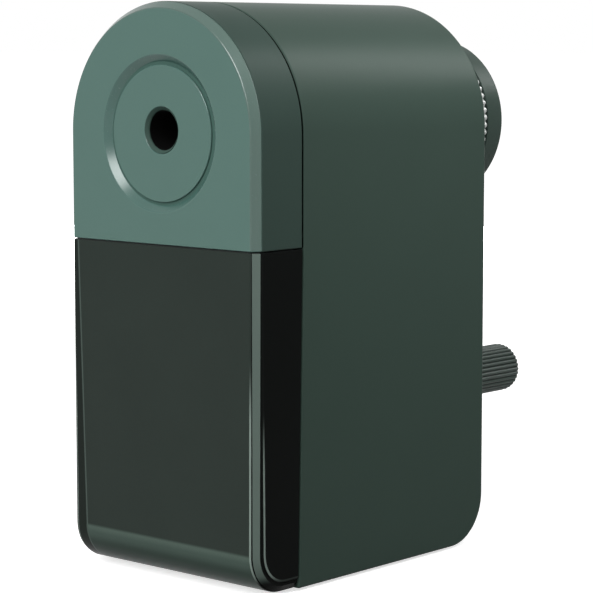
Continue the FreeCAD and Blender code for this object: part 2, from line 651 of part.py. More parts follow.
def drive_shaft():
    round_part = disc(SHAFT_RADIUS, HEAD_FRONT - SHAFT_LENGTH, HEAD_FRONT)
    solid = round_part.fuse(square_bar(SHAFT_SQUARE, HEAD_FRONT, HEAD_RECESS))
    solid = solid.cut(shaft_pin_blank(SEAT_CLEARANCE))
    thread = disc(CRANK_SCREW_RADIUS + SEAT_CLEARANCE, HEAD_RECESS - CRANK_SCREW_LENGTH - SPARE / 2,
                  HEAD_RECESS + SPARE)
    return solid.cut(thread)


def thrust_washer():
    inner = JOURNAL_RADIUS + RUNNING_CLEARANCE
    return tube(THRUST_WASHER_RADIUS, inner, HEAD_FRONT - THRUST_WASHER_THICKNESS, HEAD_FRONT)


def crank_arm():
    head = disc(HEAD_RADIUS, HEAD_FRONT, HEAD_BACK)
    head = head.makeFillet(HEAD_EDGE_RADIUS, edges_at(head, y=HEAD_FRONT) + edges_at(head, y=HEAD_BACK))
    bar_top_left = V(-ARM_HALF_WIDTH, ARM_FRONT, AXIS_HEIGHT)
    bar_top_right = V(ARM_HALF_WIDTH, ARM_FRONT, AXIS_HEIGHT)
    bar_low_left = V(-ARM_HALF_WIDTH, ARM_FRONT, KNOB_HEIGHT)
    bar_low_right = V(ARM_HALF_WIDTH, ARM_FRONT, KNOB_HEIGHT)
    bar_tip = V(0, ARM_FRONT, KNOB_HEIGHT - ARM_HALF_WIDTH)
    outline = Part.Wire([
        Part.LineSegment(bar_top_left, bar_low_left).toShape(),
        Part.Arc(bar_low_left, bar_tip, bar_low_right).toShape(),
        Part.LineSegment(bar_low_right, bar_top_right).toShape(),
        Part.LineSegment(bar_top_right, bar_top_left).toShape(),
    ])
    bar = Part.Face(outline).extrude(V(0, HEAD_BACK - ARM_FRONT, 0))
    rims = [edge for edge in edges_at(bar, y=ARM_FRONT) + edges_at(bar, y=HEAD_BACK)
            if edge.BoundBox.ZMin < AXIS_HEIGHT - SPARE]
    bar = bar.makeFillet(ARM_EDGE_RADIUS, rims)
    solid = head.fuse(bar)
    cuts = [disc(CAP_RADIUS + CAP_CLEARANCE, HEAD_RECESS, HEAD_BACK + SPARE)]
    cuts.append(square_bar(SHAFT_SQUARE + 2 * SEAT_CLEARANCE, HEAD_FRONT - SPARE, HEAD_RECESS + SPARE))
    cuts.append(disc(KNOB_PIN_RADIUS + SEAT_CLEARANCE, ARM_FRONT - SPARE, HEAD_BACK + SPARE, z=KNOB_HEIGHT))
    for cut in cuts:
        solid = solid.cut(cut)
    return solid.removeSplitter()


def crank_screw():
    return screw(CRANK_SCREW_HEAD_RADIUS, CRANK_SCREW_HEAD_HEIGHT, CRANK_SCREW_RADIUS, CRANK_SCREW_LENGTH,
                 HEAD_RECESS, 0.0, AXIS_HEIGHT, -1)


def crank_cap():
    skirt = tube(CAP_RADIUS, CAP_RADIUS - CAP_SKIRT, HEAD_RECESS, HEAD_BACK - CAP_THICKNESS / 2)
    lid = disc(CAP_RADIUS, HEAD_BACK - CAP_THICKNESS, HEAD_BACK)
    lid = lid.makeFillet(CAP_THICKNESS / 3, edges_at(lid, y=HEAD_BACK))
    return lid.fuse(skirt).removeSplitter()


def knob_washer():
    return tube(KNOB_WASHER_RADIUS, KNOB_PIN_RADIUS + SEAT_CLEARANCE, HEAD_BACK,
                HEAD_BACK + KNOB_WASHER_THICKNESS, z=KNOB_HEIGHT)


def knob_pin():
    head_start = KNOB_END - KNOB_COUNTERBORE_DEPTH + KNOB_GAP
    rivet = disc(KNOB_PIN_HEAD_RADIUS, ARM_FRONT - KNOB_PIN_HEAD_HEIGHT, ARM_FRONT, z=KNOB_HEIGHT)
    rod = disc(KNOB_PIN_RADIUS, ARM_FRONT, head_start, z=KNOB_HEIGHT)
    head = disc(KNOB_PIN_HEAD_RADIUS, head_start, head_start + KNOB_PIN_HEAD_HEIGHT, z=KNOB_HEIGHT)
    head = head.makeFillet(KNOB_PIN_HEAD_HEIGHT / 3, edges_at(head, y=head_start + KNOB_PIN_HEAD_HEIGHT))
    return rivet.multiFuse([rod, head]).removeSplitter()


def handle_knob():
    outline = star_wire(rib_points(KNOB_RADIUS, KNOB_RIB_HEIGHT, KNOB_RIBS), KNOB_START, z=KNOB_HEIGHT)
    ribbed = Part.Face(outline).extrude(V(0, KNOB_LENGTH, 0))
    envelope = disc(KNOB_RADIUS + SPARE / 10, KNOB_START, KNOB_END, z=KNOB_HEIGHT)
    envelope = envelope.makeFillet(KNOB_END_RADIUS, edges_at(envelope, y=KNOB_END))
    bore = disc(KNOB_PIN_RADIUS + RUNNING_CLEARANCE, KNOB_START - SPARE, KNOB_END + SPARE, z=KNOB_HEIGHT)
    counterbore = disc(KNOB_COUNTERBORE_RADIUS, KNOB_END - KNOB_COUNTERBORE_DEPTH, KNOB_END + SPARE,
                       z=KNOB_HEIGHT)
    return ribbed.common(envelope).cut(bore).cut(counterbore)


PIECES = {
    "housing_shell": housing_shell,
    "front_frame": front_frame,
    "front_fascia": front_fascia,
    "frame_screws": frame_screws,
    "pencil_guide": pencil_guide,
    "front_bush": front_bush,
    "foot_pad": foot_pad,
    "shavings_drawer": shavings_drawer,
    "lock_ring": lock_ring,
    "ring_gear": ring_gear,
    "rear_bush": rear_bush,
    "cutter_carrier": cutter_carrier,
    "cutter_axle": cutter_axle,
    "axle_washers": axle_washers,
    "helical_cutter": helical_cutter,
    "cutter_pinion": cutter_pinion,
    "drive_shaft": drive_shaft,
    "shaft_pin": lambda: shaft_pin_blank(0.0),
    "thrust_washer": thrust_washer,
    "crank_arm": crank_arm,
    "crank_screw": crank_screw,
    "crank_cap": crank_cap,
    "knob_washer": knob_washer,
    "knob_pin": knob_pin,
    "handle_knob": handle_knob,
}

os.makedirs("parts", exist_ok=True)
for name, make in PIECES.items():
    made = make()
    shape = Part.makeCompound(made) if isinstance(made, list) else made
    shape.exportStep("parts/" + name + ".step")
    print(name, len(shape.Solids), round(shape.Volume, 2), shape.isValid())
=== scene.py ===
import math

import bmesh
import bpy
from mathutils import Matrix, Vector


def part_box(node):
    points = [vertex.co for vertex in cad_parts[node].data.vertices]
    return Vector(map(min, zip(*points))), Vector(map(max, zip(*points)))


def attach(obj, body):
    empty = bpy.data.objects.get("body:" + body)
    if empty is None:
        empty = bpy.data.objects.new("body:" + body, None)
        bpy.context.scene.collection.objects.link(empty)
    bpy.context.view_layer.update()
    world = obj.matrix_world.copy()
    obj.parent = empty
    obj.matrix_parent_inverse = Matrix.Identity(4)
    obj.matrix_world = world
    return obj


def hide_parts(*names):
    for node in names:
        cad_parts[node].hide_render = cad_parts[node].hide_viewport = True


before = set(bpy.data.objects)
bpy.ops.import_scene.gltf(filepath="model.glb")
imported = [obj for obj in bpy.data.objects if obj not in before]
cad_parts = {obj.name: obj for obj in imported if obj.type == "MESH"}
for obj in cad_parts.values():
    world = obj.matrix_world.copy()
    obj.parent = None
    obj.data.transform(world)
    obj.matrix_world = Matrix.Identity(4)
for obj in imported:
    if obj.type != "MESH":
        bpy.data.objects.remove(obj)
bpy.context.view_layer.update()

# Housing shell
# The housing is one shell of dark green moulded plastic, open at the front, with a round top and a
# broad radius under its back. A hole in its back takes the cutter unit. The seam shades its front rim.
shell_low, shell_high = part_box("housing_shell")
fascia_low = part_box("front_fascia")[0]
guide_low, guide_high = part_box("pencil_guide")
HALF_WIDTH = shell_high.x
ARCH = shell_high.z - HALF_WIDTH
AXIS = (guide_low.z + guide_high.z) / 2
BASE = shell_low.z
BACK = shell_high.y
FRONT = fascia_low.y
SEAM_HEIGHT = fascia_low.z
SEAM_SETBACK = 0.0146
SEAM = FRONT + SEAM_SETBACK
PARTING_LEAN = SEAM - shell_low.y
WALL = 0.0022
REAR_RADIUS = 0.011
REAR_STEPS = 18
SHELL_EDGE = 0.0006
BACK_OPENING = 0.0162
FLAT_BORDER = 0.002
ARCH_STEPS = 96
ROUND_STEPS = 4
TINY = 1e-6
FLAT_FACING = 0.999
SHARP_ANGLE = math.radians(50)
SMOOTH_ANGLE = math.radians(32)
FLAT_WEIGHT = 80
MOTTLE_SCALE = 70
MOTTLE_DETAIL = 4
GRAIN_DETAIL = 2
GRAIN_DEPTH = 0.00004
HOUSING_COLOUR = (0.048, 0.077, 0.063, 1)
SEAM_COLOUR = (0.005, 0.008, 0.007, 1)
SEAM_FACING = 0.75
SEAM_FACE = 1


def arch_loop(bm, half_width, low, y):
    """A closed outline across Y: a straight foot, straight sides and a half-round top."""
    before = set(bm.verts)
    right_foot = bm.verts.new((half_width, y, low))
    right_shoulder = bm.verts.new((half_width, y, ARCH))
    bm.edges.new((right_foot, right_shoulder))
    top = bmesh.ops.spin(bm, geom=[right_shoulder], cent=(0, y, ARCH), axis=(0, -1, 0), angle=math.pi,
                         steps=ARCH_STEPS, use_duplicate=False)
    left_shoulder = top["geom_last"][0]
    left_foot = bm.verts.new((-half_width, y, low))
    bm.edges.new((left_shoulder, left_foot))
    bm.edges.new((left_foot, right_foot))
    return [vert for vert in bm.verts if vert not in before]


def circle_loop(bm, radius, y, height, steps):
    """A closed circle across Y."""
    upright = Matrix.Translation((0, y, height)) @ Matrix.Rotation(math.pi / 2, 4, "X")
    made = bmesh.ops.create_circle(bm, cap_ends=False, radius=radius, segments=steps, matrix=upright)
    return made["verts"]


def loop_edges(loop):
    """The edges that run round a loop of vertices."""
    members = set(loop)
    edges = dict.fromkeys(edge for vert in loop for edge in vert.link_edges)
    return [edge for edge in edges if set(edge.verts) <= members]


def only(kind, items):
    """The items of one kind among what an operator gives back."""
    return [item for item in items if isinstance(item, kind)]


def drawn_out(bm, edges, way):
    """Extrudes edges along a vector and gives back the new vertices."""
    moved = only(bmesh.types.BMVert, bmesh.ops.extrude_edge_only(bm, edges=edges)["geom"])
    bmesh.ops.translate(bm, verts=moved, vec=way)
    return moved


def round_edges(bm, edges, radius, steps=ROUND_STEPS):
    """Rounds a set of edges."""
    bmesh.ops.bevel(bm, geom=list(edges), offset=radius, offset_type="OFFSET", affect="EDGES",
                    segments=steps, profile=0.5, material=-1, clamp_overlap=True)


def sharp_edges(bm, least=SHARP_ANGLE):
    """The edges where two faces meet at a sharp angle."""
    return [edge for edge in bm.edges if edge.is_manifold and edge.calc_face_angle() > least]


def pierce(bm, face, hole):
    """Gives a flat face a clean border and fills the rest of it round a hole."""
    normal = face.normal.copy()
    bmesh.ops.inset_region(bm, faces=[face], thickness=FLAT_BORDER, use_even_offset=True)
    rim = list(face.edges)
    bmesh.ops.delete(bm, geom=[face], context="FACES_ONLY")
    bmesh.ops.triangle_fill(bm, edges=rim + hole, normal=normal, use_beauty=True)


def facing(bm, direction, place):
    """The largest face that looks in a direction and lies on a plane across it."""
    direction = Vector(direction)
    bm.normal_update()
    found = [face for face in bm.faces if face.normal.dot(direction) > FLAT_FACING
             and abs(face.calc_center_median().dot(direction) - place) < TINY]
    return max(found, key=lambda face: face.calc_area())


def smoothed(piece):
    """Smooth shading that stops at the sharper edges."""
    piece.data.shade_smooth()
    piece.data.set_sharp_from_angle(angle=SMOOTH_ANGLE)


def finished(name, bm, materials):
    """Merges a mesh's doubles, turns its faces outwards and makes a smooth object of it."""
    bmesh.ops.remove_doubles(bm, verts=bm.verts, dist=TINY)
    bmesh.ops.recalc_face_normals(bm, faces=bm.faces)
    mesh = bpy.data.meshes.new(name)
    bm.to_mesh(mesh)
    bm.free()
    for material in materials:
        mesh.materials.append(material)
    piece = bpy.data.objects.new(name, mesh)
    bpy.context.scene.collection.objects.link(piece)
    smoothed(piece)
    return piece


def crisp(piece):
    """Lets the large flat faces set the normals along the rounded edges."""
    weighted = piece.modifiers.new("crisp flats", "WEIGHTED_NORMAL")
    weighted.keep_sharp = True
    weighted.weight = FLAT_WEIGHT


def hollowed(bm, low, edge):
    """Gives an open shell its wall on the inside and rounds its outer edges."""
    bmesh.ops.recalc_face_normals(bm, faces=bm.faces)
    bmesh.ops.solidify(bm, geom=list(bm.faces), thickness=WALL)
    outer = []
    for item in sharp_edges(bm):
        middle = (item.verts[0].co + item.verts[1].co) / 2
        reach = math.hypot(middle.x, max(middle.z - ARCH, 0))
        if reach > HALF_WIDTH - WALL / 2 or middle.z < low + WALL / 2:
            outer.append(item)
    round_edges(bm, outer, edge)


def maths(nodes, links, operation, *values):
    """Arithmetic on numbers and on the values of other nodes."""
    node = nodes.new("ShaderNodeMath")
    node.operation = operation
    for socket, value in zip(node.inputs, values):
        if isinstance(value, (int, float)):
            socket.default_value = value
        else:
            links.new(value, socket)
    return node.outputs[0]


def grain_group():
    """A node group for moulded plastic: slow colour mottle, fine grain and uneven gloss."""
    group = bpy.data.node_groups.new("moulded grain", "ShaderNodeTree")
    for label, way, kind in (("Color", "INPUT", "NodeSocketColor"),
                             ("Mottle", "INPUT", "NodeSocketFloat"),
                             ("Gloss", "INPUT", "NodeSocketFloat"),
                             ("Gloss Spread", "INPUT", "NodeSocketFloat"),
                             ("Grain Scale", "INPUT", "NodeSocketFloat"),
                             ("Color", "OUTPUT", "NodeSocketColor"),
                             ("Roughness", "OUTPUT", "NodeSocketFloat"),
                             ("Height", "OUTPUT", "NodeSocketFloat")):
        group.interface.new_socket(name=label, in_out=way, socket_type=kind)
    nodes, links = group.nodes, group.links
    taken = nodes.new("NodeGroupInput")
    given = nodes.new("NodeGroupOutput")
    place = nodes.new("ShaderNodeTexCoord")
    slow = nodes.new("ShaderNodeTexNoise")
    slow.inputs["Scale"].default_value = MOTTLE_SCALE
    slow.inputs["Detail"].default_value = MOTTLE_DETAIL
    fine = nodes.new("ShaderNodeTexNoise")
    fine.inputs["Detail"].default_value = GRAIN_DETAIL
    for noise in (slow, fine):
        links.new(place.outputs["Object"], noise.inputs["Vector"])
    links.new(taken.outputs["Grain Scale"], fine.inputs["Scale"])
    both = maths(nodes, links, "ADD", slow.outputs["Fac"], fine.outputs["Fac"])
    off_middle = maths(nodes, links, "SUBTRACT", both, 1.0)
    swing = maths(nodes, links, "MULTIPLY", off_middle, taken.outputs["Mottle"])
    shade = nodes.new("ShaderNodeHueSaturation")
    links.new(taken.outputs["Color"], shade.inputs["Color"])
    links.new(maths(nodes, links, "ADD", swing, 1.0), shade.inputs["Value"])
    off_gloss = maths(nodes, links, "SUBTRACT", fine.outputs["Fac"], 0.5)
    spread = maths(nodes, links, "MULTIPLY", off_gloss, taken.outputs["Gloss Spread"])
    gloss = maths(nodes, links, "ADD", spread, taken.outputs["Gloss"])
    links.new(shade.outputs["Color"], given.inputs["Color"])
    links.new(gloss, given.inputs["Roughness"])
    links.new(fine.outputs["Fac"], given.inputs["Height"])
    return group


MOULDED_GRAIN = grain_group()


def new_material(name):
    """An empty material with its shader, its nodes and its links."""
    material = bpy.data.materials.new(name)
    material.use_nodes = True
    nodes, links = material.node_tree.nodes, material.node_tree.links
    return material, nodes["Principled BSDF"], nodes, links


def moulded(name, colour, gloss, specular, mottle=0.06, spread=0.1, grain=2600, bump=0.12, painter=None):
    """Satin moulded plastic in one colour, or in the colours that a painter gives."""
    material, shader, nodes, links = new_material(name)
    skin = nodes.new("ShaderNodeGroup")
    skin.node_tree = MOULDED_GRAIN
    skin.inputs["Color"].default_value = colour
    if painter:
        links.new(painter(nodes, links), skin.inputs["Color"])
    skin.inputs["Mottle"].default_value = mottle
    skin.inputs["Gloss"].default_value = gloss
    skin.inputs["Gloss Spread"].default_value = spread
    skin.inputs["Grain Scale"].default_value = grain
    grained = nodes.new("ShaderNodeBump")
    grained.inputs["Strength"].default_value = bump
    grained.inputs["Distance"].default_value = GRAIN_DEPTH
    shader.inputs["Specular IOR Level"].default_value = specular
    links.new(skin.outputs["Color"], shader.inputs["Base Color"])
    links.new(skin.outputs["Roughness"], shader.inputs["Roughness"])
    links.new(skin.outputs["Height"], grained.inputs["Height"])
    links.new(grained.outputs["Normal"], shader.inputs["Normal"])
    return material


housing_green = moulded("housing green", HOUSING_COLOUR, gloss=0.34, specular=0.025)
seam_shade = moulded("seam shade", SEAM_COLOUR, gloss=0.6, specular=0.01)
shell = bmesh.new()
arch_loop(shell, HALF_WIDTH, BASE, SEAM)
long_sides = [edge for edge in shell.edges if edge.calc_length() > SEAM_HEIGHT]
bmesh.ops.subdivide_edges(shell, edges=long_sides, cuts=1)
for vert in shell.verts:
    if BASE + TINY < vert.co.z < ARCH - TINY:
        vert.co.z = SEAM_HEIGHT
shell_back = drawn_out(shell, list(shell.edges), (0, BACK - SEAM, 0))
# Below the fascia the front edge leans forward towards the foot
for vert in shell.verts:
    if vert.co.y < BACK - TINY and vert.co.z < SEAM_HEIGHT:
        vert.co.y -= PARTING_LEAN
bmesh.ops.edgeloop_fill(shell, edges=loop_edges(shell_back))
bmesh.ops.recalc_face_normals(shell, faces=shell.faces)
rear_foot = [edge for edge in shell.edges
             if all(abs(vert.co.y - BACK) < TINY and abs(vert.co.z - BASE) < TINY for vert in edge.verts)]
round_edges(shell, rear_foot, REAR_RADIUS, REAR_STEPS)
opening = loop_edges(circle_loop(shell, BACK_OPENING, BACK, AXIS, ARCH_STEPS))
pierce(shell, facing(shell, (0, 1, 0), BACK), opening)
hollowed(shell, BASE, SHELL_EDGE)
shell.normal_update()
for face in shell.faces:
    middle = face.calc_center_median()
    if middle.y < SEAM + SHELL_EDGE and middle.z > SEAM_HEIGHT and abs(face.normal.y) > SEAM_FACING:
        face.material_index = SEAM_FACE
housing = finished("housing", shell, [housing_green, seam_shade])
crisp(housing)
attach(housing, "housing")
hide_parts("housing_shell")

# Front frame
# The frame is a dark green plastic arch behind the fascia, held by four screws. It closes the housing
# above the drawer and carries the pencil guide and the front bearing. A narrow lip meets the housing.
FASCIA_THICKNESS = 0.002
FRAME_FRONT = FRONT + FASCIA_THICKNESS
SEAM_GAP = 0.00035
FRAME_BACK = SEAM - SEAM_GAP
GUIDE_HOLE = 0.00489
FRAME_EDGE = 0.00025
LIP_SHARE = 3
LIP_INSET = WALL - (WALL - FRAME_EDGE) / LIP_SHARE
FRAME_COLOUR = (0.045, 0.072, 0.061, 1)


def pushed_out(bm, faces, way):
    """Extrudes a region of faces along a vector."""
    raised = bmesh.ops.extrude_face_region(bm, geom=faces)["geom"]
    bmesh.ops.translate(bm, verts=only(bmesh.types.BMVert, raised), vec=way)


frame_green = moulded("frame green", FRAME_COLOUR, gloss=0.34, specular=0.015)
arch = bmesh.new()
arch_front = arch_loop(arch, HALF_WIDTH, SEAM_HEIGHT, FRAME_FRONT)
drawn_out(arch, list(arch.edges), (0, FRAME_BACK - FRAME_FRONT, 0))
bmesh.ops.edgeloop_fill(arch, edges=loop_edges(arch_front))
guide_rim = loop_edges(circle_loop(arch, GUIDE_HOLE, FRAME_FRONT, AXIS, ARCH_STEPS))
bmesh.ops.recalc_face_normals(arch, faces=arch.faces)
pierce(arch, facing(arch, (0, -1, 0), -FRAME_FRONT), guide_rim)
hollowed(arch, SEAM_HEIGHT, FRAME_EDGE)
arch.normal_update()
# The rear rim is split into three tracks, and the innermost one is raised as the lip
rear_rim = {face for face in arch.faces if face.normal.y > FLAT_FACING
            and abs(face.calc_center_median().y - FRAME_BACK) < TINY}
across = [edge for edge in arch.edges if len(edge.link_faces) == 2 and set(edge.link_faces) <= rear_rim]
bmesh.ops.subdivide_edges(arch, edges=across, cuts=LIP_SHARE - 1)
lip = []
for face in arch.faces:
    middle = face.calc_center_median()
    inset = min(HALF_WIDTH - math.hypot(middle.x, max(middle.z - ARCH, 0)), middle.z - SEAM_HEIGHT)
    if abs(middle.y - FRAME_BACK) < TINY and inset > LIP_INSET:
        lip.append(face)
pushed_out(arch, lip, (0, SEAM_GAP, 0))
bmesh.ops.delete(arch, geom=lip, context="FACES")
front_arch = finished("front_arch", arch, [frame_green])
crisp(front_arch)
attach(front_arch, "housing")
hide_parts("front_frame")

# Pencil guide
# The guide is a flanged plastic tube pushed through the frame from behind. Its flared mouth lies
# level with the floor of the fascia's dish, and its bore leads the pencil to the cutter.
BORE_RADIUS = 0.0042
GUIDE_RIM = 0.00485
GUIDE_FLARE = 0.0007
GUIDE_EDGE = 0.0002
FLANGE_RADIUS = guide_high.x
FLANGE_SETBACK = 0.0025
FLANGE_THICKNESS = 0.0015
FLANGE_START = FRAME_FRONT + FLANGE_SETBACK
FLANGE_END = FLANGE_START + FLANGE_THICKNESS
TURN_STEPS = 96
GUIDE_COLOUR = (0.055, 0.095, 0.080, 1)
BORE_SHADE_COLOUR = (0.004, 0.004, 0.004, 1)
BORE_FACE = 1


def turned(bm, profile, height, steps=TURN_STEPS, closed=True):
    """Turns an outline of (radius, y) or (radius, y, rounding) points round an axis along Y."""
    before = set(bm.verts)
    corners = [bm.verts.new((radius, y, height)) for radius, y, *_ in profile]
    ends = corners[1:] + corners[:1] if closed else corners[1:]
    for near, far in zip(corners, ends):
        bm.edges.new((near, far))
    for corner, (_, _, *rounding) in zip(corners, profile):
        if rounding:
            bmesh.ops.bevel(bm, geom=[corner], offset=rounding[0], offset_type="OFFSET", affect="VERTICES",
                            segments=ROUND_STEPS, profile=0.5, material=-1, clamp_overlap=True)
    outline = [vert for vert in bm.verts if vert not in before]
    bmesh.ops.spin(bm, geom=outline + loop_edges(outline), cent=(0, 0, height), axis=(0, 1, 0),
                   angle=2 * math.pi, steps=steps, use_merge=True, use_duplicate=False)
    return [vert for vert in bm.verts if vert not in before]


guide_plastic = moulded("guide plastic", GUIDE_COLOUR, gloss=0.5, specular=0.03)
bore_shade = moulded("bore shade", BORE_SHADE_COLOUR, gloss=0.5, specular=0.1)
tube = bmesh.new()
turned(tube, [
    (GUIDE_RIM, guide_low.y),
    (BORE_RADIUS, guide_low.y + GUIDE_FLARE, GUIDE_EDGE),
    (BORE_RADIUS, guide_high.y, GUIDE_EDGE),
    (GUIDE_RIM, guide_high.y, GUIDE_EDGE),
    (GUIDE_RIM, FLANGE_END),
    (FLANGE_RADIUS, FLANGE_END, GUIDE_EDGE),
    (FLANGE_RADIUS, FLANGE_START, GUIDE_EDGE),
    (GUIDE_RIM, FLANGE_START),
], AXIS)
# The bore is painted near black, as painted shade down the hole.
for face in tube.faces:
    middle = face.calc_center_median()
    if math.hypot(middle.x, middle.z - AXIS) < BORE_RADIUS + TINY:
        face.material_index = BORE_FACE
guide = finished("guide", tube, [guide_plastic, bore_shade])
crisp(guide)
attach(guide, "housing")
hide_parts("pencil_guide")

# Fascia
# The fascia is a sage green plastic plate clipped over the frame, with a chamfer up its sides and over
# its top. A shallow dish lies round the pencil hole: a polished sloping wall, a fine groove, a disc.
CHAMFER_WIDTH = 0.0014
FLAT_HALF = HALF_WIDTH - CHAMFER_WIDTH
FASCIA_EDGE = 0.00025
FASCIA_SHARP = math.radians(20)
DISH_RADIUS = 0.0165
DISC = guide_low.y
GROOVE_DEPTH = 0.00135
GROOVE_FLOOR = FRONT + GROOVE_DEPTH
DISH_WALL_FOOT = 0.01505
DISH_GROOVE = 0.0144
DISH_FLOOR = 0.01435
DISH_COLLAR = 0.0182
DISH_MIDDLE = 0.012
DISH_SOFTNESS = 0.00022
DISC_SOFTNESS = 0.0002
DISH_STEPS = ARCH_STEPS * 2
CHAMFER_STEEPEST = 0.3
CHAMFER_FLATTEST = 0.95
HOLE_BORDER = 0.0008
MOUTH_BORDER = GUIDE_HOLE + HOLE_BORDER
FASCIA_COLOUR = (0.099, 0.181, 0.157, 1)
GROOVE_COLOUR = (0.060, 0.118, 0.100, 1)
CHAMFER_COLOUR = (0.074, 0.126, 0.107, 1)
# The dish wall is the fascia's sage painted darker, as painted shade, with a polished finish.
WALL_SHADE_COLOUR = (0.060, 0.135, 0.115, 1)


def rim_of(verts, radius, y, height):
    """The edges of a turned piece that lie on one circle."""
    on_rim = [vert for vert in verts if abs(vert.co.y - y) < TINY
              and abs(math.hypot(vert.co.x, vert.co.z - height) - radius) < TINY]
    return loop_edges(on_rim)


sage = [moulded("fascia sage", FASCIA_COLOUR, gloss=0.3, specular=0.15),
        moulded("groove shade", GROOVE_COLOUR, gloss=0.5, specular=0.05),
        moulded("wall polish and shade", WALL_SHADE_COLOUR, gloss=0.27, specular=0.45, spread=0.02, bump=0.01),
        moulded("chamfer polish", CHAMFER_COLOUR, gloss=0.25, specular=0.5, bump=0.03)]
GROOVE_FACE, DISH_WALL_FACE, CHAMFER_FACE = range(1, len(sage))
plate = bmesh.new()
plate_rear = arch_loop(plate, HALF_WIDTH, SEAM_HEIGHT, FRAME_FRONT)
plate_front = drawn_out(plate, list(plate.edges), (0, -FASCIA_THICKNESS, 0))
narrowing = FLAT_HALF / HALF_WIDTH
round_top = [vert for vert in plate_front if vert.co.z > ARCH - TINY]
plate_foot = [vert for vert in plate_front if vert.co.z < ARCH - TINY]
to_arch = Matrix.Translation((0, 0, -ARCH))
bmesh.ops.scale(plate, verts=round_top, vec=(narrowing, 1, narrowing), space=to_arch)
bmesh.ops.scale(plate, verts=plate_foot, vec=(narrowing, 1, 1))
bmesh.ops.edgeloop_fill(plate, edges=loop_edges(plate_front))
bmesh.ops.edgeloop_fill(plate, edges=loop_edges(plate_rear))
bmesh.ops.recalc_face_normals(plate, faces=plate.faces)
round_edges(plate, sharp_edges(plate, FASCIA_SHARP), FASCIA_EDGE)
dish = turned(plate, [
    (DISH_COLLAR, FRONT),
    (DISH_RADIUS, FRONT, DISH_SOFTNESS),
    (DISH_WALL_FOOT, GROOVE_FLOOR),
    (DISH_GROOVE, GROOVE_FLOOR),
    (DISH_FLOOR, DISC, DISC_SOFTNESS),
    (DISH_MIDDLE, DISC),
], ARCH, DISH_STEPS, closed=False)
mouth = turned(plate, [
    (MOUTH_BORDER, DISC),
    (GUIDE_HOLE, DISC, DISH_SOFTNESS),
    (GUIDE_HOLE, FRAME_FRONT),
], AXIS, DISH_STEPS, closed=False)
disc_rims = rim_of(dish, DISH_MIDDLE, DISC, ARCH) + rim_of(mouth, MOUTH_BORDER, DISC, AXIS)
bmesh.ops.triangle_fill(plate, edges=disc_rims, normal=(0, -1, 0), use_beauty=True)
pierce(plate, facing(plate, (0, -1, 0), -FRONT), rim_of(dish, DISH_COLLAR, FRONT, ARCH))
pierce(plate, facing(plate, (0, 1, 0), FRAME_FRONT), rim_of(mouth, GUIDE_HOLE, FRAME_FRONT, AXIS))
plate.normal_update()
for face in plate.faces:
    middle = face.calc_center_median()
    reach = math.hypot(middle.x, middle.z - ARCH)
    sloping = CHAMFER_STEEPEST < abs(face.normal.y) < CHAMFER_FLATTEST
    in_groove = DISH_FLOOR - TINY < reach < DISH_WALL_FOOT - TINY
    if in_groove and DISC + DISC_SOFTNESS - TINY < middle.y < FRAME_FRONT - TINY:
        face.material_index = GROOVE_FACE
    elif sloping and reach < DISH_RADIUS:
        face.material_index = DISH_WALL_FACE
    elif sloping and reach > DISH_COLLAR and middle.z > SEAM_HEIGHT + CHAMFER_WIDTH:
        face.material_index = CHAMFER_FACE
fascia = finished("fascia", plate, sage)
crisp(fascia)
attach(fascia, "housing")
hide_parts("front_fascia")

# Shavings drawer
# The drawer is one smoked plastic moulding. Its face has a broad lower corner, a bevelled strip between
# two fine grooves down each side and a low lip on top. The open tray behind it slides in the housing.
drawer_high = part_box("shavings_drawer")[1]
DRAWER_TOP = drawer_high.z
DRAWER_RADIUS = 0.009
DRAWER_GAP = 0.0003
DRAWER_WALL = 0.0018
DRAWER_FACE_WALL = 0.0024
DRAWER_STEPS = 24
STRIP_DEPTH = 0.002
STRIP_SLOPE = STRIP_DEPTH / CHAMFER_WIDTH
GROOVE_SINK = 0.0004
PANEL_TAPER = 0.00025
SIDE_TAPER = 0.00045
STRIP_TAPER = 0.00014
RIM_SPREAD = 0.0002
LIP_SETBACK = 0.00025
LIP_GAP = 0.0001
TRAY_EDGE = 0.0003
TRAY_DROP = 0.0068
TRAY_HALF = HALF_WIDTH - WALL - DRAWER_GAP
TRAY_LOW = BASE + WALL + DRAWER_GAP
TRAY_TOP = SEAM_HEIGHT - TRAY_DROP
TRAY_FLOOR = TRAY_LOW + DRAWER_WALL
TRAY_BACK = drawer_high.y
HOLLOW_TOP = DRAWER_TOP + WALL
SMOKED_FRONT = (0.029, 0.039, 0.0335, 1)
# At the left of the front, a painted shade band and a thin painted light line stand where the tray's wall
# would show through.
SMOKED_SHADE = (0.014, 0.019, 0.016, 1)
SMOKED_LINE_LIGHT = (0.075, 0.100, 0.088, 1)
# The sides and the grooves are the dark smoked plastic painted darker still, as painted shade.
SMOKED_SIDE_SHADE = (0.0065, 0.0075, 0.0070, 1)
# The bevelled strip is painted light, as a painted highlight.
SMOKED_STRIP_HIGHLIGHT = (0.125, 0.165, 0.145, 1)
# The fine rims beside the grooves are painted light, as painted highlights.
SMOKED_EDGE_HIGHLIGHT = (0.24, 0.30, 0.27, 1)
SMOKED_INNER = (0.012, 0.015, 0.014, 1)
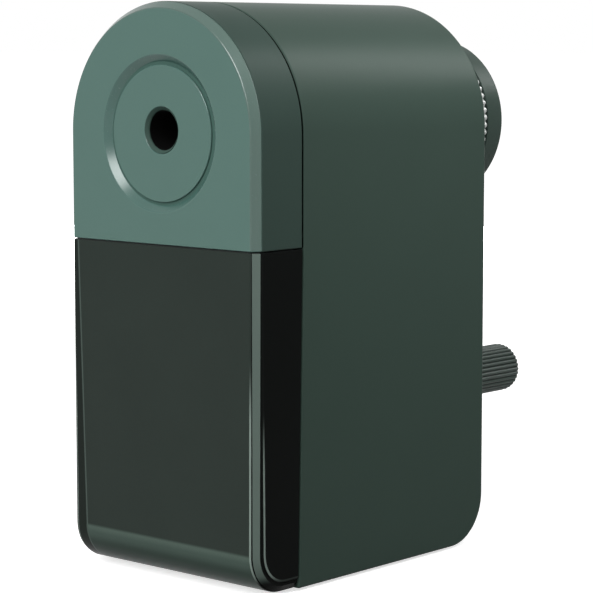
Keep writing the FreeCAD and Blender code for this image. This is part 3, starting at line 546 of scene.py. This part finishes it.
# Painted light on the front's foot: reflection bands, lighter where the foot turns under, with painted
# shade at its lowest edge.
FOOT_REFLECTION = (0.086, 0.122, 0.103, 1)
FOOT_MIDDLE = (0.066, 0.098, 0.082, 1)
FOOT_LOW = (0.030, 0.052, 0.041, 1)
FOOT_SHADE = (0.024, 0.034, 0.029, 1)
FOOT_BAND = 0.010
FOOT_LIGHT_STOPS = [(0.04, FOOT_SHADE), (0.20, FOOT_LOW), (0.45, FOOT_LOW), (0.70, FOOT_MIDDLE),
              (0.84, FOOT_REFLECTION), (0.92, SMOKED_FRONT)]
STRIP_BAND = 0.012
STRIP_HIGHLIGHT_STOPS = [(0.20, SMOKED_SIDE_SHADE), (0.40, SMOKED_STRIP_HIGHLIGHT)]
EDGE_HIGHLIGHT_STOPS = [(0.03, SMOKED_SIDE_SHADE), (0.07, SMOKED_EDGE_HIGHLIGHT)]
WALL_LINE_TOP = 0.0014
WALL_LINE_FOOT = 0.0033
WALL_LINE_WIDTH = 0.0004


def mapped(nodes, links, value, taken=(0.0, 1.0), given=(0.0, 1.0)):
    """A value stretched from one range to another and held at the ends."""
    stretch = nodes.new("ShaderNodeMapRange")
    for label, number in zip(("From Min", "From Max", "To Min", "To Max"), taken + given):
        stretch.inputs[label].default_value = number
    links.new(value, stretch.inputs["Value"])
    return stretch.outputs["Result"]


def along(nodes, links, axis, low, high):
    """A value that runs from 0 to 1 between two places along one axis."""
    place = nodes.new("ShaderNodeTexCoord")
    split = nodes.new("ShaderNodeSeparateXYZ")
    links.new(place.outputs["Object"], split.inputs["Vector"])
    return mapped(nodes, links, split.outputs[axis], taken=(low, high))


def ramp(nodes, links, value, stops):
    """Colours laid out along a value."""
    scale = nodes.new("ShaderNodeValToRGB")
    scale.color_ramp.interpolation = "EASE"
    while len(scale.color_ramp.elements) < len(stops):
        scale.color_ramp.elements.new(1.0)
    for element, (position, colour) in zip(scale.color_ramp.elements, stops):
        element.position = position
        element.color = colour
    links.new(value, scale.inputs["Fac"])
    return scale.outputs["Color"]


def blended(nodes, links, share, first, second):
    """A colour that goes from the first to the second as the share rises."""
    mix = nodes.new("ShaderNodeMix")
    mix.data_type = "RGBA"
    colours = [socket for socket in mix.inputs if socket.type == "RGBA"]
    links.new(share, mix.inputs[0])
    for socket, colour in zip(colours, (first, second)):
        if isinstance(colour, tuple):
            socket.default_value = colour
        else:
            links.new(colour, socket)
    return [socket for socket in mix.outputs if socket.type == "RGBA"][0]


def smoked_front_painted_light(nodes, links):
    """Dark smoked front: painted light where the foot turns under, and painted shade and a line at the
    left.
    """
    panel = ramp(nodes, links, along(nodes, links, "Z", BASE, BASE + FOOT_BAND), FOOT_LIGHT_STOPS)
    drop = along(nodes, links, "Z", DRAWER_TOP, BASE + DRAWER_RADIUS)
    inset = mapped(nodes, links, drop, given=(WALL_LINE_TOP, WALL_LINE_FOOT))
    reach = along(nodes, links, "X", -FLAT_HALF, 1.0 - FLAT_HALF)
    gap = maths(nodes, links, "SUBTRACT", reach, inset)
    side = mapped(nodes, links, gap, taken=(-WALL_LINE_WIDTH, 0.0))
    shaded = blended(nodes, links, side, SMOKED_SHADE, panel)
    line = maths(nodes, links, "COMPARE", gap, 0.0, WALL_LINE_WIDTH / 2)
    return blended(nodes, links, line, shaded, SMOKED_LINE_LIGHT)


def strip_highlight_paint(nodes, links):
    """Painted highlight on the bevelled strip down to the lower corner, painted shade where it turns
    under.
    """
    return ramp(nodes, links, along(nodes, links, "Z", BASE, BASE + STRIP_BAND), STRIP_HIGHLIGHT_STOPS)


def edge_highlight_paint(light_top, upper_start, upper):
    """Painted highlight for the rim of a groove: light low down, with another colour further up."""
    stops = EDGE_HIGHLIGHT_STOPS + [(light_top, SMOKED_EDGE_HIGHLIGHT), (upper_start, upper)]

    def paint(nodes, links):
        return ramp(nodes, links, along(nodes, links, "Z", BASE, DRAWER_TOP), stops)
    return paint


smoked = [moulded("smoked front", SMOKED_FRONT, gloss=0.32, specular=0.04, mottle=0.16, grain=3600,
                  painter=smoked_front_painted_light),
          moulded("smoked side shade", SMOKED_SIDE_SHADE, gloss=0.25, specular=0.01),
          moulded("smoked strip highlight", SMOKED_STRIP_HIGHLIGHT, gloss=0.25, specular=0.02, painter=strip_highlight_paint),
          moulded("smoked panel edge highlight", SMOKED_EDGE_HIGHLIGHT, gloss=0.25, specular=0.02,
                  painter=edge_highlight_paint(light_top=0.47, upper_start=0.70, upper=SMOKED_FRONT)),
          moulded("smoked rim edge highlight", SMOKED_EDGE_HIGHLIGHT, gloss=0.25, specular=0.02,
                  painter=edge_highlight_paint(light_top=0.34, upper_start=0.55, upper=SMOKED_SIDE_SHADE)),
          moulded("smoked inside", SMOKED_INNER, gloss=0.3, specular=0.15)]
FRONT_FACE, SIDE_FACE, STRIP_FACE, PANEL_EDGE, RIM_EDGE, INNER_FACE = range(len(smoked))


def on_strip(across, finish):
    """A point of the face's section on the slope of the strip, so far past the flat panel."""
    return FLAT_HALF + across, across * STRIP_SLOPE, finish


# The face's section from its middle to its side: x, depth behind the front, and the finish that follows
FACE_SECTION = [
    (0.0, 0.0, FRONT_FACE),
    (FLAT_HALF - 0.00030, 0.0, PANEL_EDGE),
    (FLAT_HALF - 0.00008, 0.00005, PANEL_EDGE),
    (FLAT_HALF + 0.00008, 0.00018, SIDE_FACE),
    on_strip(0.00013, SIDE_FACE),
    on_strip(0.00018, STRIP_FACE),
    on_strip(0.00120, SIDE_FACE),
    on_strip(0.00131, SIDE_FACE),
    (HALF_WIDTH - 0.00006, STRIP_DEPTH - 0.00006, RIM_EDGE),
    (HALF_WIDTH - 0.00002, STRIP_DEPTH + 0.00006, RIM_EDGE),
    (HALF_WIDTH, STRIP_DEPTH + 0.00022, SIDE_FACE),
    (HALF_WIDTH, DRAWER_RADIUS, SIDE_FACE),
]
PANEL_POINTS = (1, 2, 3)
GROOVE_POINTS = (4, 7)
STRIP_END = 6
RIM_POINTS = (8, 9, 10)
RIM_END = 10
LAST_POINT = len(FACE_SECTION) - 1


def parting(height):
    """The y of the drawer's leaning back edge at one height."""
    return SEAM - DRAWER_GAP - PARTING_LEAN * (SEAM_HEIGHT - height) / (SEAM_HEIGHT - BASE)


def solid_block(low, high):
    """A closed block between two corners, in the drawer's inner finish."""
    bm = bmesh.new()
    size = Vector(high) - Vector(low)
    middle = (Vector(high) + Vector(low)) / 2
    bmesh.ops.create_cube(bm, size=1, matrix=Matrix.Translation(middle) @ Matrix.Diagonal((*size, 1)))
    for face in bm.faces:
        face.material_index = INNER_FACE
    return bm


def carve(piece, tool, operation):
    """Joins a closed mesh to a piece, or cuts it out of it, and drops the tool."""
    joint = piece.modifiers.new(operation, "BOOLEAN")
    joint.operation = operation
    joint.solver = "EXACT"
    joint.object = tool
    graph = bpy.context.evaluated_depsgraph_get()
    carved = bpy.data.meshes.new_from_object(piece.evaluated_get(graph))
    piece.modifiers.remove(joint)
    piece.data = carved
    bpy.data.objects.remove(tool)


# Half of the face: the section is drawn down the front, turned under at the foot and drawn back
face_bm = bmesh.new()
point_of = face_bm.verts.layers.int.new("point")
section = []
for number, (x, depth, _) in enumerate(FACE_SECTION):
    vert = face_bm.verts.new((x, FRONT + depth, DRAWER_TOP))
    vert[point_of] = number
    section.append(vert)
chain = [face_bm.edges.new(pair) for pair in zip(section, section[1:])]
corner = Vector((0, FRONT + DRAWER_RADIUS, BASE + DRAWER_RADIUS))
lower = drawn_out(face_bm, chain, (0, 0, corner.z - DRAWER_TOP))
turned_under = bmesh.ops.spin(face_bm, geom=lower + loop_edges(lower), axis=(1, 0, 0), angle=math.pi / 2,
                              cent=corner, steps=DRAWER_STEPS, use_duplicate=False)["geom_last"]
to_back = (0, SEAM - FRONT - DRAWER_RADIUS, 0)
drawn_out(face_bm, only(bmesh.types.BMEdge, turned_under), to_back)
bmesh.ops.remove_doubles(face_bm, verts=face_bm.verts, dist=TINY)
flank = [edge for edge in face_bm.edges if all(vert[point_of] == LAST_POINT for vert in edge.verts)
         and abs(edge.verts[0].co.z - edge.verts[1].co.z) > DRAWER_RADIUS]
drawn_out(face_bm, flank, to_back)
bmesh.ops.remove_doubles(face_bm, verts=face_bm.verts, dist=TINY)

# The grooves open from nothing at the top to their full depth at the lower corner
groove_way = Vector((-STRIP_DEPTH, CHAMFER_WIDTH)).normalized()
for vert in face_bm.verts:
    share = min((DRAWER_TOP - vert.co.z) / (DRAWER_TOP - BASE - DRAWER_RADIUS), 1.0)
    inward = Vector((0, max(corner.y - vert.co.y, 0.0), max(corner.z - vert.co.z, 0.0)))
    if inward.length > TINY:
        inward.normalize()
    if vert[point_of] in PANEL_POINTS:
        vert.co.x -= PANEL_TAPER * share
    elif vert[point_of] == STRIP_END:
        vert.co.x -= STRIP_TAPER * share
        vert.co -= inward * STRIP_TAPER * STRIP_SLOPE * share
    elif vert[point_of] in GROOVE_POINTS:
        vert.co.x += groove_way.x * GROOVE_SINK * share
        vert.co += inward * groove_way.y * GROOVE_SINK * share
    elif vert[point_of] in RIM_POINTS:
        vert.co += inward * SIDE_TAPER * share
        if vert[point_of] == RIM_END:
            vert.co += inward * RIM_SPREAD * share
    if vert.co.y > corner.y + TINY:
        vert.co.y = parting(vert.co.z)
for face in face_bm.faces:
    face.material_index = FACE_SECTION[min(vert[point_of] for vert in face.verts)][2]

# The other half is mirrored, and the top and the back are closed
half_face = face_bm.verts[:] + face_bm.edges[:] + face_bm.faces[:]
bmesh.ops.mirror(face_bm, geom=half_face, axis="X", merge_dist=TINY)
bmesh.ops.remove_doubles(face_bm, verts=face_bm.verts, dist=TINY)
crest = [vert for vert in face_bm.verts if abs(vert.co.z - DRAWER_TOP) < TINY
         and abs(vert.co.y - parting(DRAWER_TOP)) < TINY]
face_bm.edges.new(crest)
top_rim = [edge for edge in face_bm.edges if not edge.is_manifold
           and all(abs(vert.co.z - DRAWER_TOP) < TINY for vert in edge.verts)]
back_rim = [edge for edge in face_bm.edges if not edge.is_manifold
            and all(abs(vert.co.y - parting(vert.co.z)) < TINY for vert in edge.verts)]
for rim in (top_rim, back_rim):
    for face in bmesh.ops.edgeloop_fill(face_bm, edges=rim)["faces"]:
        face.material_index = INNER_FACE
face_bm.verts.layers.int.remove(point_of)
drawer = finished("drawer", face_bm, smoked)

# The lip and the tray are joined to the face, and both are hollowed out
lip_half = FLAT_HALF - LIP_SETBACK
top_lip = solid_block((-lip_half, FRONT + LIP_SETBACK, DRAWER_TOP - DRAWER_WALL),
                      (lip_half, parting(DRAWER_TOP) - LIP_SETBACK, SEAM_HEIGHT - LIP_GAP))
carve(drawer, finished("top_lip", top_lip, smoked), "UNION")
tray_bm = solid_block((-TRAY_HALF, corner.y, TRAY_LOW), (TRAY_HALF, TRAY_BACK, TRAY_TOP))
round_edges(tray_bm, sharp_edges(tray_bm), TRAY_EDGE)
carve(drawer, finished("tray", tray_bm, smoked), "UNION")
inner_half = HALF_WIDTH - DRAWER_FACE_WALL
inner_front = FRONT + DRAWER_FACE_WALL
hollow_back = SEAM - PARTING_LEAN - DRAWER_GAP - DRAWER_WALL
face_hollow = solid_block((-inner_half, inner_front, TRAY_FLOOR), (inner_half, hollow_back, HOLLOW_TOP))
hollow_foot = [edge for edge in face_hollow.edges if all(vert.co.z < TRAY_FLOOR + TINY
               and vert.co.y < inner_front + TINY for vert in edge.verts)]
round_edges(face_hollow, hollow_foot, DRAWER_RADIUS - DRAWER_FACE_WALL, DRAWER_STEPS // 2)
carve(drawer, finished("face_hollow", face_hollow, smoked), "DIFFERENCE")
hollow_half = TRAY_HALF - DRAWER_WALL
tray_hollow = solid_block((-hollow_half, corner.y, TRAY_FLOOR),
                          (hollow_half, TRAY_BACK - DRAWER_WALL, HOLLOW_TOP))
carve(drawer, finished("tray_hollow", tray_hollow, smoked), "DIFFERENCE")
smoothed(drawer)
crisp(drawer)
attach(drawer, "drawer")
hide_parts("shavings_drawer")

# Foot pad
# The pad is a thin sheet of black non-slip rubber. It is stuck under the housing, behind the drawer,
# and keeps the sharpener from sliding on the table.
PAD_COLOUR = (0.012, 0.012, 0.012, 1)


def finish_node(material, *names):
    """Gives CAD pieces that keep their shape a material."""
    for name in names:
        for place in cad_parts[name].material_slots:
            place.material = material


pad_rubber = moulded("pad rubber", PAD_COLOUR, gloss=0.8, specular=0.2, mottle=0.2, grain=1400, bump=0.6)
finish_node(pad_rubber, "foot_pad")

# Lock ring
# The lock ring is a pale plastic moulding that holds the cutter unit in the back wall with three lugs.
# Its collar is ribbed for the fingers and ends just short of the crank. Its cup carries the inner gear.
ring_low, ring_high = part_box("lock_ring")
arm_low, arm_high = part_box("crank_arm")
COLLAR_RADIUS = 0.0186
COLLAR_RIBS = 66
COLLAR_RIB_DEPTH = 0.0006
RIB_STEPS = 8
NECK_RADIUS = 0.016
LUG_HEIGHT = 0.0014
LUG_HALF_ARC = math.radians(15)
LUG_TURN = math.radians(45)
LUG_COUNT = 3
LUG_SETBACK = 0.0026
LUG_THICKNESS = 0.002
LUG_BACK = BACK - LUG_SETBACK
LUG_FRONT = LUG_BACK - LUG_THICKNESS
CUP_RADIUS = 0.015
GEAR_SEAT = 0.01252
GEAR_SETBACK = 0.0076
GEAR_BACK = BACK - GEAR_SETBACK
CUP_FLOOR_RADIUS = 0.0112
CUP_DEPTH = 0.006
CUP_FLOOR = GEAR_BACK + CUP_DEPTH
RING_BORE = 0.00842
WALL_CLEARANCE = 0.00015
COLLAR_START = BACK + WALL_CLEARANCE
COLLAR_END = ring_high.y
COLLAR_SOFTNESS = 0.0004
RIM_SOFTNESS = 0.0001
RIM_RADIUS = 0.0157
HEAD_GAP = 0.0002
HEAD_LIP_DEPTH = 0.001
HEAD_LIP = arm_low.y - HEAD_LIP_DEPTH
COLLAR_RIM = HEAD_LIP - HEAD_GAP
RING_COLOUR = (0.62, 0.65, 0.63, 1)


def shape_ribs(loop, height, ribs, y, radius, depth=0.0, lug=0.0):
    """Draws a circle in between round ribs, and pushes it out at the lugs."""
    pitch = 2 * math.pi / LUG_COUNT
    for vert in loop:
        angle = math.atan2(vert.co.x, vert.co.z - height)
        reach = radius - depth * (1 - abs(math.cos(ribs * angle / 2)))
        off_lug = abs((angle - LUG_TURN + pitch / 2) % pitch - pitch / 2)
        if off_lug < LUG_HALF_ARC:
            reach += lug
        vert.co = (reach * math.sin(angle), y, height + reach * math.cos(angle))


def ribbed_solid(bm, sections, height, ribs):
    """A closed ring through (y, radius, rib depth, lug height) sections, drawn out from one loop."""
    y, radius = sections[0][:2]
    loop = circle_loop(bm, radius, y, height, ribs * RIB_STEPS)
    edges = loop_edges(loop)
    shape_ribs(loop, height, ribs, *sections[0])
    for section in sections[1:] + sections[:1]:
        pulled = bmesh.ops.extrude_edge_only(bm, edges=edges)["geom"]
        edges = only(bmesh.types.BMEdge, pulled)
        shape_ribs(only(bmesh.types.BMVert, pulled), height, ribs, *section)


ring_satin = moulded("ring satin", RING_COLOUR, gloss=0.35, specular=0.5, mottle=0.05)
ring_bm = bmesh.new()
ribbed_solid(ring_bm, [
    (COLLAR_START, NECK_RADIUS),
    (COLLAR_START, COLLAR_RADIUS - COLLAR_SOFTNESS, COLLAR_RIB_DEPTH),
    (COLLAR_START + COLLAR_SOFTNESS, COLLAR_RADIUS, COLLAR_RIB_DEPTH),
    (COLLAR_RIM - RIM_SOFTNESS, COLLAR_RADIUS, COLLAR_RIB_DEPTH),
    (COLLAR_RIM, COLLAR_RADIUS - RIM_SOFTNESS, COLLAR_RIB_DEPTH),
    (COLLAR_RIM, RIM_RADIUS),
    (COLLAR_END, RIM_RADIUS),
    (COLLAR_END, RING_BORE),
    (CUP_FLOOR, RING_BORE),
    (CUP_FLOOR, CUP_FLOOR_RADIUS),
    (GEAR_BACK, CUP_FLOOR_RADIUS),
    (GEAR_BACK, GEAR_SEAT),
    (ring_low.y, GEAR_SEAT),
    (ring_low.y, CUP_RADIUS),
    (LUG_FRONT, CUP_RADIUS),
    (LUG_FRONT, NECK_RADIUS, 0.0, LUG_HEIGHT),
    (LUG_BACK, NECK_RADIUS, 0.0, LUG_HEIGHT),
    (LUG_BACK, NECK_RADIUS - TINY),
], AXIS, COLLAR_RIBS)
lock_collar = finished("lock_collar", ring_bm, [ring_satin])
crisp(lock_collar)
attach(lock_collar, "lock_unit")
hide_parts("lock_ring")

# Crank arm
# The crank is one green moulding: a round head with a thin lip round its front, close behind the lock
# ring's ribs, and an arm with a round end. It drives the cutter carrier through a square on the shaft.
HEAD_RADIUS = arm_high.x
HEAD_FRONT = arm_low.y
HEAD_BACK = arm_high.y
HEAD_EDGE = 0.0009
HEAD_FINE_EDGE = 0.0002
HEAD_LIP_RADIUS = 0.0163
HEAD_FLOOR = 0.002
HEAD_RECESS = HEAD_FRONT + HEAD_FLOOR
HEAD_STEPS = ARCH_STEPS * 2
CAP_RADIUS = 0.01
CAP_GAP = 0.00005
RECESS_RADIUS = CAP_RADIUS + CAP_GAP
SHAFT_HOLE = 0.003
ARM_HALF = 0.0065
ARM_SETBACK = 0.0006
ARM_FRONT = HEAD_FRONT + ARM_SETBACK
ARM_EDGE = 0.0007
ARM_START = 0.012
ARM_TOP = AXIS - ARM_START
ARM_STEPS = ARCH_STEPS // 2
KNOB_HEIGHT = arm_low.z + ARM_HALF
CRANK_COLOUR = (0.050, 0.076, 0.064, 1)

crank_green = moulded("crank green", CRANK_COLOUR, gloss=0.34, specular=0.035)
head_bm = bmesh.new()
turned(head_bm, [
    (SHAFT_HOLE, HEAD_FRONT),
    (HEAD_LIP_RADIUS, HEAD_FRONT),
    (HEAD_LIP_RADIUS, HEAD_LIP),
    (HEAD_RADIUS, HEAD_LIP, HEAD_FINE_EDGE),
    (HEAD_RADIUS, HEAD_BACK, HEAD_EDGE),
    (RECESS_RADIUS, HEAD_BACK, HEAD_FINE_EDGE),
    (RECESS_RADIUS, HEAD_RECESS),
    (SHAFT_HOLE, HEAD_RECESS),
], AXIS, HEAD_STEPS)
crank = finished("crank", head_bm, [crank_green])
arm_bm = bmesh.new()
top_right = arm_bm.verts.new((ARM_HALF, ARM_FRONT, ARM_TOP))
low_right = arm_bm.verts.new((ARM_HALF, ARM_FRONT, KNOB_HEIGHT))
arm_bm.edges.new((top_right, low_right))
tip = bmesh.ops.spin(arm_bm, geom=[low_right], cent=(0, ARM_FRONT, KNOB_HEIGHT), axis=(0, 1, 0),
                     angle=math.pi, steps=ARM_STEPS, use_duplicate=False)
low_left = tip["geom_last"][0]
top_left = arm_bm.verts.new((-ARM_HALF, ARM_FRONT, ARM_TOP))
arm_bm.edges.new((low_left, top_left))
arm_bm.edges.new((top_left, top_right))
bmesh.ops.edgeloop_fill(arm_bm, edges=list(arm_bm.edges))
pushed_out(arm_bm, list(arm_bm.faces), (0, HEAD_BACK - ARM_FRONT, 0))
bmesh.ops.recalc_face_normals(arm_bm, faces=arm_bm.faces)
long_rims = [edge for edge in sharp_edges(arm_bm) if abs(edge.verts[0].co.y - edge.verts[1].co.y) < TINY
             and min(vert.co.z for vert in edge.verts) < ARM_TOP - TINY]
round_edges(arm_bm, long_rims, ARM_EDGE)
carve(crank, finished("arm", arm_bm, [crank_green]), "UNION")
smoothed(crank)
crisp(crank)
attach(crank, "crank")
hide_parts("crank_arm")

# Crank cap
# The cap is a thin disc of the crank's own green plastic with a skirt. It is pressed into the recess of
# the head and hides the screw that holds the crank on the shaft.
CAP_THICKNESS = 0.0012
CAP_SKIRT = 0.0013
CAP_EDGE = 0.0004
SKIRT_INSIDE = CAP_RADIUS - CAP_SKIRT
CAP_UNDERSIDE = HEAD_BACK - CAP_THICKNESS

cap_bm = bmesh.new()
turned(cap_bm, [
    (0.0, HEAD_BACK),
    (CAP_RADIUS, HEAD_BACK, CAP_EDGE),
    (CAP_RADIUS, HEAD_RECESS),
    (SKIRT_INSIDE, HEAD_RECESS),
    (SKIRT_INSIDE, CAP_UNDERSIDE),
    (0.0, CAP_UNDERSIDE),
], AXIS, closed=False)
cap = finished("cap", cap_bm, [crank_green])
crisp(cap)
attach(cap, "crank")
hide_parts("crank_cap")

# Handle knob
# The knob is moulded in green plastic and turns freely on a steel pin at the end of the arm. Round ribs
# run along it for grip, and its outer end is drawn in round the pin's head.
knob_low, knob_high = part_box("handle_knob")
KNOB_RADIUS = knob_high.x
KNOB_RIBS = 32
KNOB_RIB_DEPTH = 0.0004
KNOB_END_RADIUS = 0.0012
KNOB_END_STEPS = 8
KNOB_BORE = 0.00205
KNOB_COUNTERBORE = 0.0038
KNOB_COUNTERBORE_DEPTH = 0.0024
KNOB_SEAT = knob_high.y - KNOB_COUNTERBORE_DEPTH
KNOB_SOFTNESS = 0.0003
# Painted shade darkens the hollows between the ribs.
RIB_SHADE_FOOT = KNOB_RADIUS - KNOB_RIB_DEPTH
RIB_SHADE_TOP = KNOB_RADIUS - KNOB_RIB_DEPTH / 3
KNOB_COLOUR = (0.062, 0.088, 0.076, 1)
KNOB_GROOVE_SHADE = (0.010, 0.018, 0.014, 1)


def distance(nodes, links, centre, ways):
    """How far a place lies from a centre, along the ways that count."""
    value = nodes.new("ShaderNodeTexCoord").outputs["Object"]
    for operation, amount in (("SUBTRACT", centre), ("MULTIPLY", ways)):
        node = nodes.new("ShaderNodeVectorMath")
        node.operation = operation
        node.inputs[1].default_value = amount
        links.new(value, node.inputs[0])
        value = node.outputs["Vector"]
    length = nodes.new("ShaderNodeVectorMath")
    length.operation = "LENGTH"
    links.new(value, length.inputs[0])
    return length.outputs["Value"]


def knob_paint(nodes, links):
    """The knob's green, with painted shade between the ribs."""
    reach = distance(nodes, links, centre=(0, 0, KNOB_HEIGHT), ways=(1, 0, 1))
    ridge = mapped(nodes, links, reach, taken=(RIB_SHADE_FOOT, RIB_SHADE_TOP))
    end = along(nodes, links, "Y", knob_high.y - KNOB_END_RADIUS, knob_high.y)
    # The painted shade stops on the ridges and at the outer end.
    clean = maths(nodes, links, "MAXIMUM", ridge, end)
    return blended(nodes, links, clean, KNOB_GROOVE_SHADE, KNOB_COLOUR)


knob_green = moulded("knob green", KNOB_COLOUR, gloss=0.4, specular=0.1, painter=knob_paint)
knob_bm = bmesh.new()
end_sections = []
for step in range(KNOB_END_STEPS + 1):
    turn = math.pi / 2 * step / KNOB_END_STEPS
    end_sections.append((knob_high.y - KNOB_END_RADIUS * (1 - math.sin(turn)),
                         KNOB_RADIUS - KNOB_END_RADIUS * (1 - math.cos(turn)),
                         KNOB_RIB_DEPTH * math.cos(turn)))
ribbed_solid(knob_bm, [
    (knob_low.y, KNOB_BORE),
    (knob_low.y, KNOB_RADIUS - KNOB_SOFTNESS, KNOB_RIB_DEPTH),
    (knob_low.y + KNOB_SOFTNESS, KNOB_RADIUS, KNOB_RIB_DEPTH),
    *end_sections,
    (knob_high.y, KNOB_COUNTERBORE),
    (KNOB_SEAT, KNOB_COUNTERBORE),
    (KNOB_SEAT, KNOB_BORE),
], KNOB_HEIGHT, KNOB_RIBS)
knob = finished("knob", knob_bm, [knob_green])
crisp(knob)
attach(knob, "knob")
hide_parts("handle_knob")

# Bearings and gears
# The bushes and the thrust washer are natural acetal, and the ring gear and the cutter's pinion are
# white acetal, all injection moulded.
BEARING_COLOUR = (0.60, 0.59, 0.54, 1)
GEAR_COLOUR = (0.70, 0.70, 0.67, 1)

finish_node(moulded("bearing acetal", BEARING_COLOUR, gloss=0.38, specular=0.5), "front_bush", "rear_bush",
            "thrust_washer")
finish_node(moulded("gear acetal", GEAR_COLOUR, gloss=0.35, specular=0.5), "ring_gear", "cutter_pinion")

# Cutter unit and metal fittings
# The carrier is die-cast zinc. The helical cutter is hardened ground steel on a turned steel axle, and
# the shaft, pins, washers and screws are bright or plated steel.
ZINC_COLOUR = (0.52, 0.53, 0.54, 1)
CUTTER_COLOUR = (0.40, 0.40, 0.41, 1)
STEEL_COLOUR = (0.56, 0.56, 0.57, 1)
PLATED_COLOUR = (0.48, 0.48, 0.46, 1)


def metal(name, colour, gloss, grain):
    """Bare metal with fine tool marks."""
    material = moulded(name, colour, gloss, specular=0.5, mottle=0.12, grain=grain)
    material.node_tree.nodes["Principled BSDF"].inputs["Metallic"].default_value = 1.0
    return material


finish_node(metal("carrier zinc", ZINC_COLOUR, gloss=0.45, grain=1500), "cutter_carrier")
finish_node(metal("cutter steel", CUTTER_COLOUR, gloss=0.28, grain=5000), "helical_cutter")
finish_node(metal("bright steel", STEEL_COLOUR, gloss=0.22, grain=4000), "cutter_axle", "axle_washers",
            "drive_shaft", "shaft_pin", "knob_washer", "knob_pin")
finish_node(metal("plated steel", PLATED_COLOUR, gloss=0.32, grain=3000), "frame_screws", "crank_screw")

# Floor
# A plain pale table top runs on past the view. It looks pale to the camera and in reflections, and
# whiter further off, and it sends only a little light back up.
FLOOR_SIZE = 40.0
FLOOR_ROUGHNESS = 0.9
FLOOR_PALE = 0.80
FLOOR_BOUNCE = 0.10
GLOW_NEAR = 0.66
GLOW_FAR = 1.0
GLOW_START = 0.3
GLOW_END = 1.0
WHITE = (1, 1, 1, 1)


def seen_directly(nodes, links):
    """1 for rays that come from the camera, a mirror or a glass, and 0 for the rest."""
    path = nodes.new("ShaderNodeLightPath")
    seen = path.outputs["Is Camera Ray"]
    for label in ("Is Glossy Ray", "Is Transmission Ray"):
        seen = maths(nodes, links, "MAXIMUM", seen, path.outputs[label])
    return seen


floor_pale, shader, nodes, links = new_material("floor pale")
shader.inputs["Roughness"].default_value = FLOOR_ROUGHNESS
shader.inputs["Specular IOR Level"].default_value = 0.0
shader.inputs["Emission Color"].default_value = WHITE
seen = seen_directly(nodes, links)
pale = mapped(nodes, links, seen, given=(FLOOR_BOUNCE, FLOOR_PALE))
reach = distance(nodes, links, centre=(0, 0, 0), ways=(1, 1, 1))
glow = mapped(nodes, links, reach, taken=(GLOW_START, GLOW_END), given=(GLOW_NEAR, GLOW_FAR))
links.new(pale, shader.inputs["Base Color"])
links.new(maths(nodes, links, "MULTIPLY", seen, glow), shader.inputs["Emission Strength"])
floor_bm = bmesh.new()
bmesh.ops.create_grid(floor_bm, x_segments=1, y_segments=1, size=FLOOR_SIZE / 2)
floor = finished("floor", floor_bm, [floor_pale])

# Studio light
# A white room holds five soft panels. A tall key above the front and a fill behind the left light matt
# surfaces only, a strip behind and a card in front show only in gloss, and a small side lamp does both.
WORLD_LIGHT = 0.14
# Each panel's place, size, power, and whether it lights matt surfaces and shows in gloss
SOFT_LIGHTS = {
    "key": ((0.10, -0.76, 0.50), (0.45, 0.90), 8.2, True, False),
    "side": ((0.17, 0.03, 0.20), (0.12, 0.12), 0.26, True, True),
    "strip": ((0.25, 0.63, 0.57), (0.13, 0.40), 3.8, False, True),
    "card": ((0.29, -0.58, 0.61), (0.40, 0.45), 8.0, False, True),
    "fill": ((-0.55, 0.70, 0.15), (0.60, 0.30), 7.0, True, False),
}
LIGHT_AIM = Vector((0, 0, 0.07))

world = bpy.data.worlds.new("white room")
world.use_nodes = True
bpy.context.scene.world = world
nodes, links = world.node_tree.nodes, world.node_tree.links
background = nodes["Background"]
background.inputs["Color"].default_value = WHITE
level = mapped(nodes, links, seen_directly(nodes, links), given=(WORLD_LIGHT, 1.0))
links.new(level, background.inputs["Strength"])
for name, (place, size, power, on_matt, in_gloss) in SOFT_LIGHTS.items():
    lamp = bpy.data.lights.new(name, "AREA")
    lamp.shape = "RECTANGLE"
    lamp.size, lamp.size_y = size
    lamp.energy = power
    light = bpy.data.objects.new(name, lamp)
    light.location = place
    light.rotation_euler = (LIGHT_AIM - Vector(place)).to_track_quat("-Z", "Y").to_euler()
    light.visible_camera = False
    light.visible_diffuse = on_matt
    light.visible_glossy = in_gloss
    bpy.context.scene.collection.objects.link(light)

# Camera
# The camera stands where the photograph's stood, to the front right and a little above the middle of
# the object, and looks through a long lens.
VIEW_AIM = Vector((0.00295, 0.00167, 0.05817))
VIEW_DISTANCE = 0.49579
VIEW_AZIMUTH = math.radians(41.533)
VIEW_ELEVATION = math.radians(6.499)
VIEW_LENS = 135.05
SENSOR_WIDTH = 36

lens = bpy.data.cameras.new("camera")
lens.lens = VIEW_LENS
lens.sensor_width = SENSOR_WIDTH
camera = bpy.data.objects.new("camera", lens)
level_reach = math.cos(VIEW_ELEVATION)
towards = Vector((math.sin(VIEW_AZIMUTH) * level_reach, -math.cos(VIEW_AZIMUTH) * level_reach,
                  math.sin(VIEW_ELEVATION)))
camera.location = VIEW_AIM + towards * VIEW_DISTANCE
camera.rotation_euler = (math.pi / 2 - VIEW_ELEVATION, 0, VIEW_AZIMUTH)
bpy.context.scene.collection.objects.link(camera)
bpy.context.scene.camera = camera
bpy.context.scene.view_settings.view_transform = "Standard"
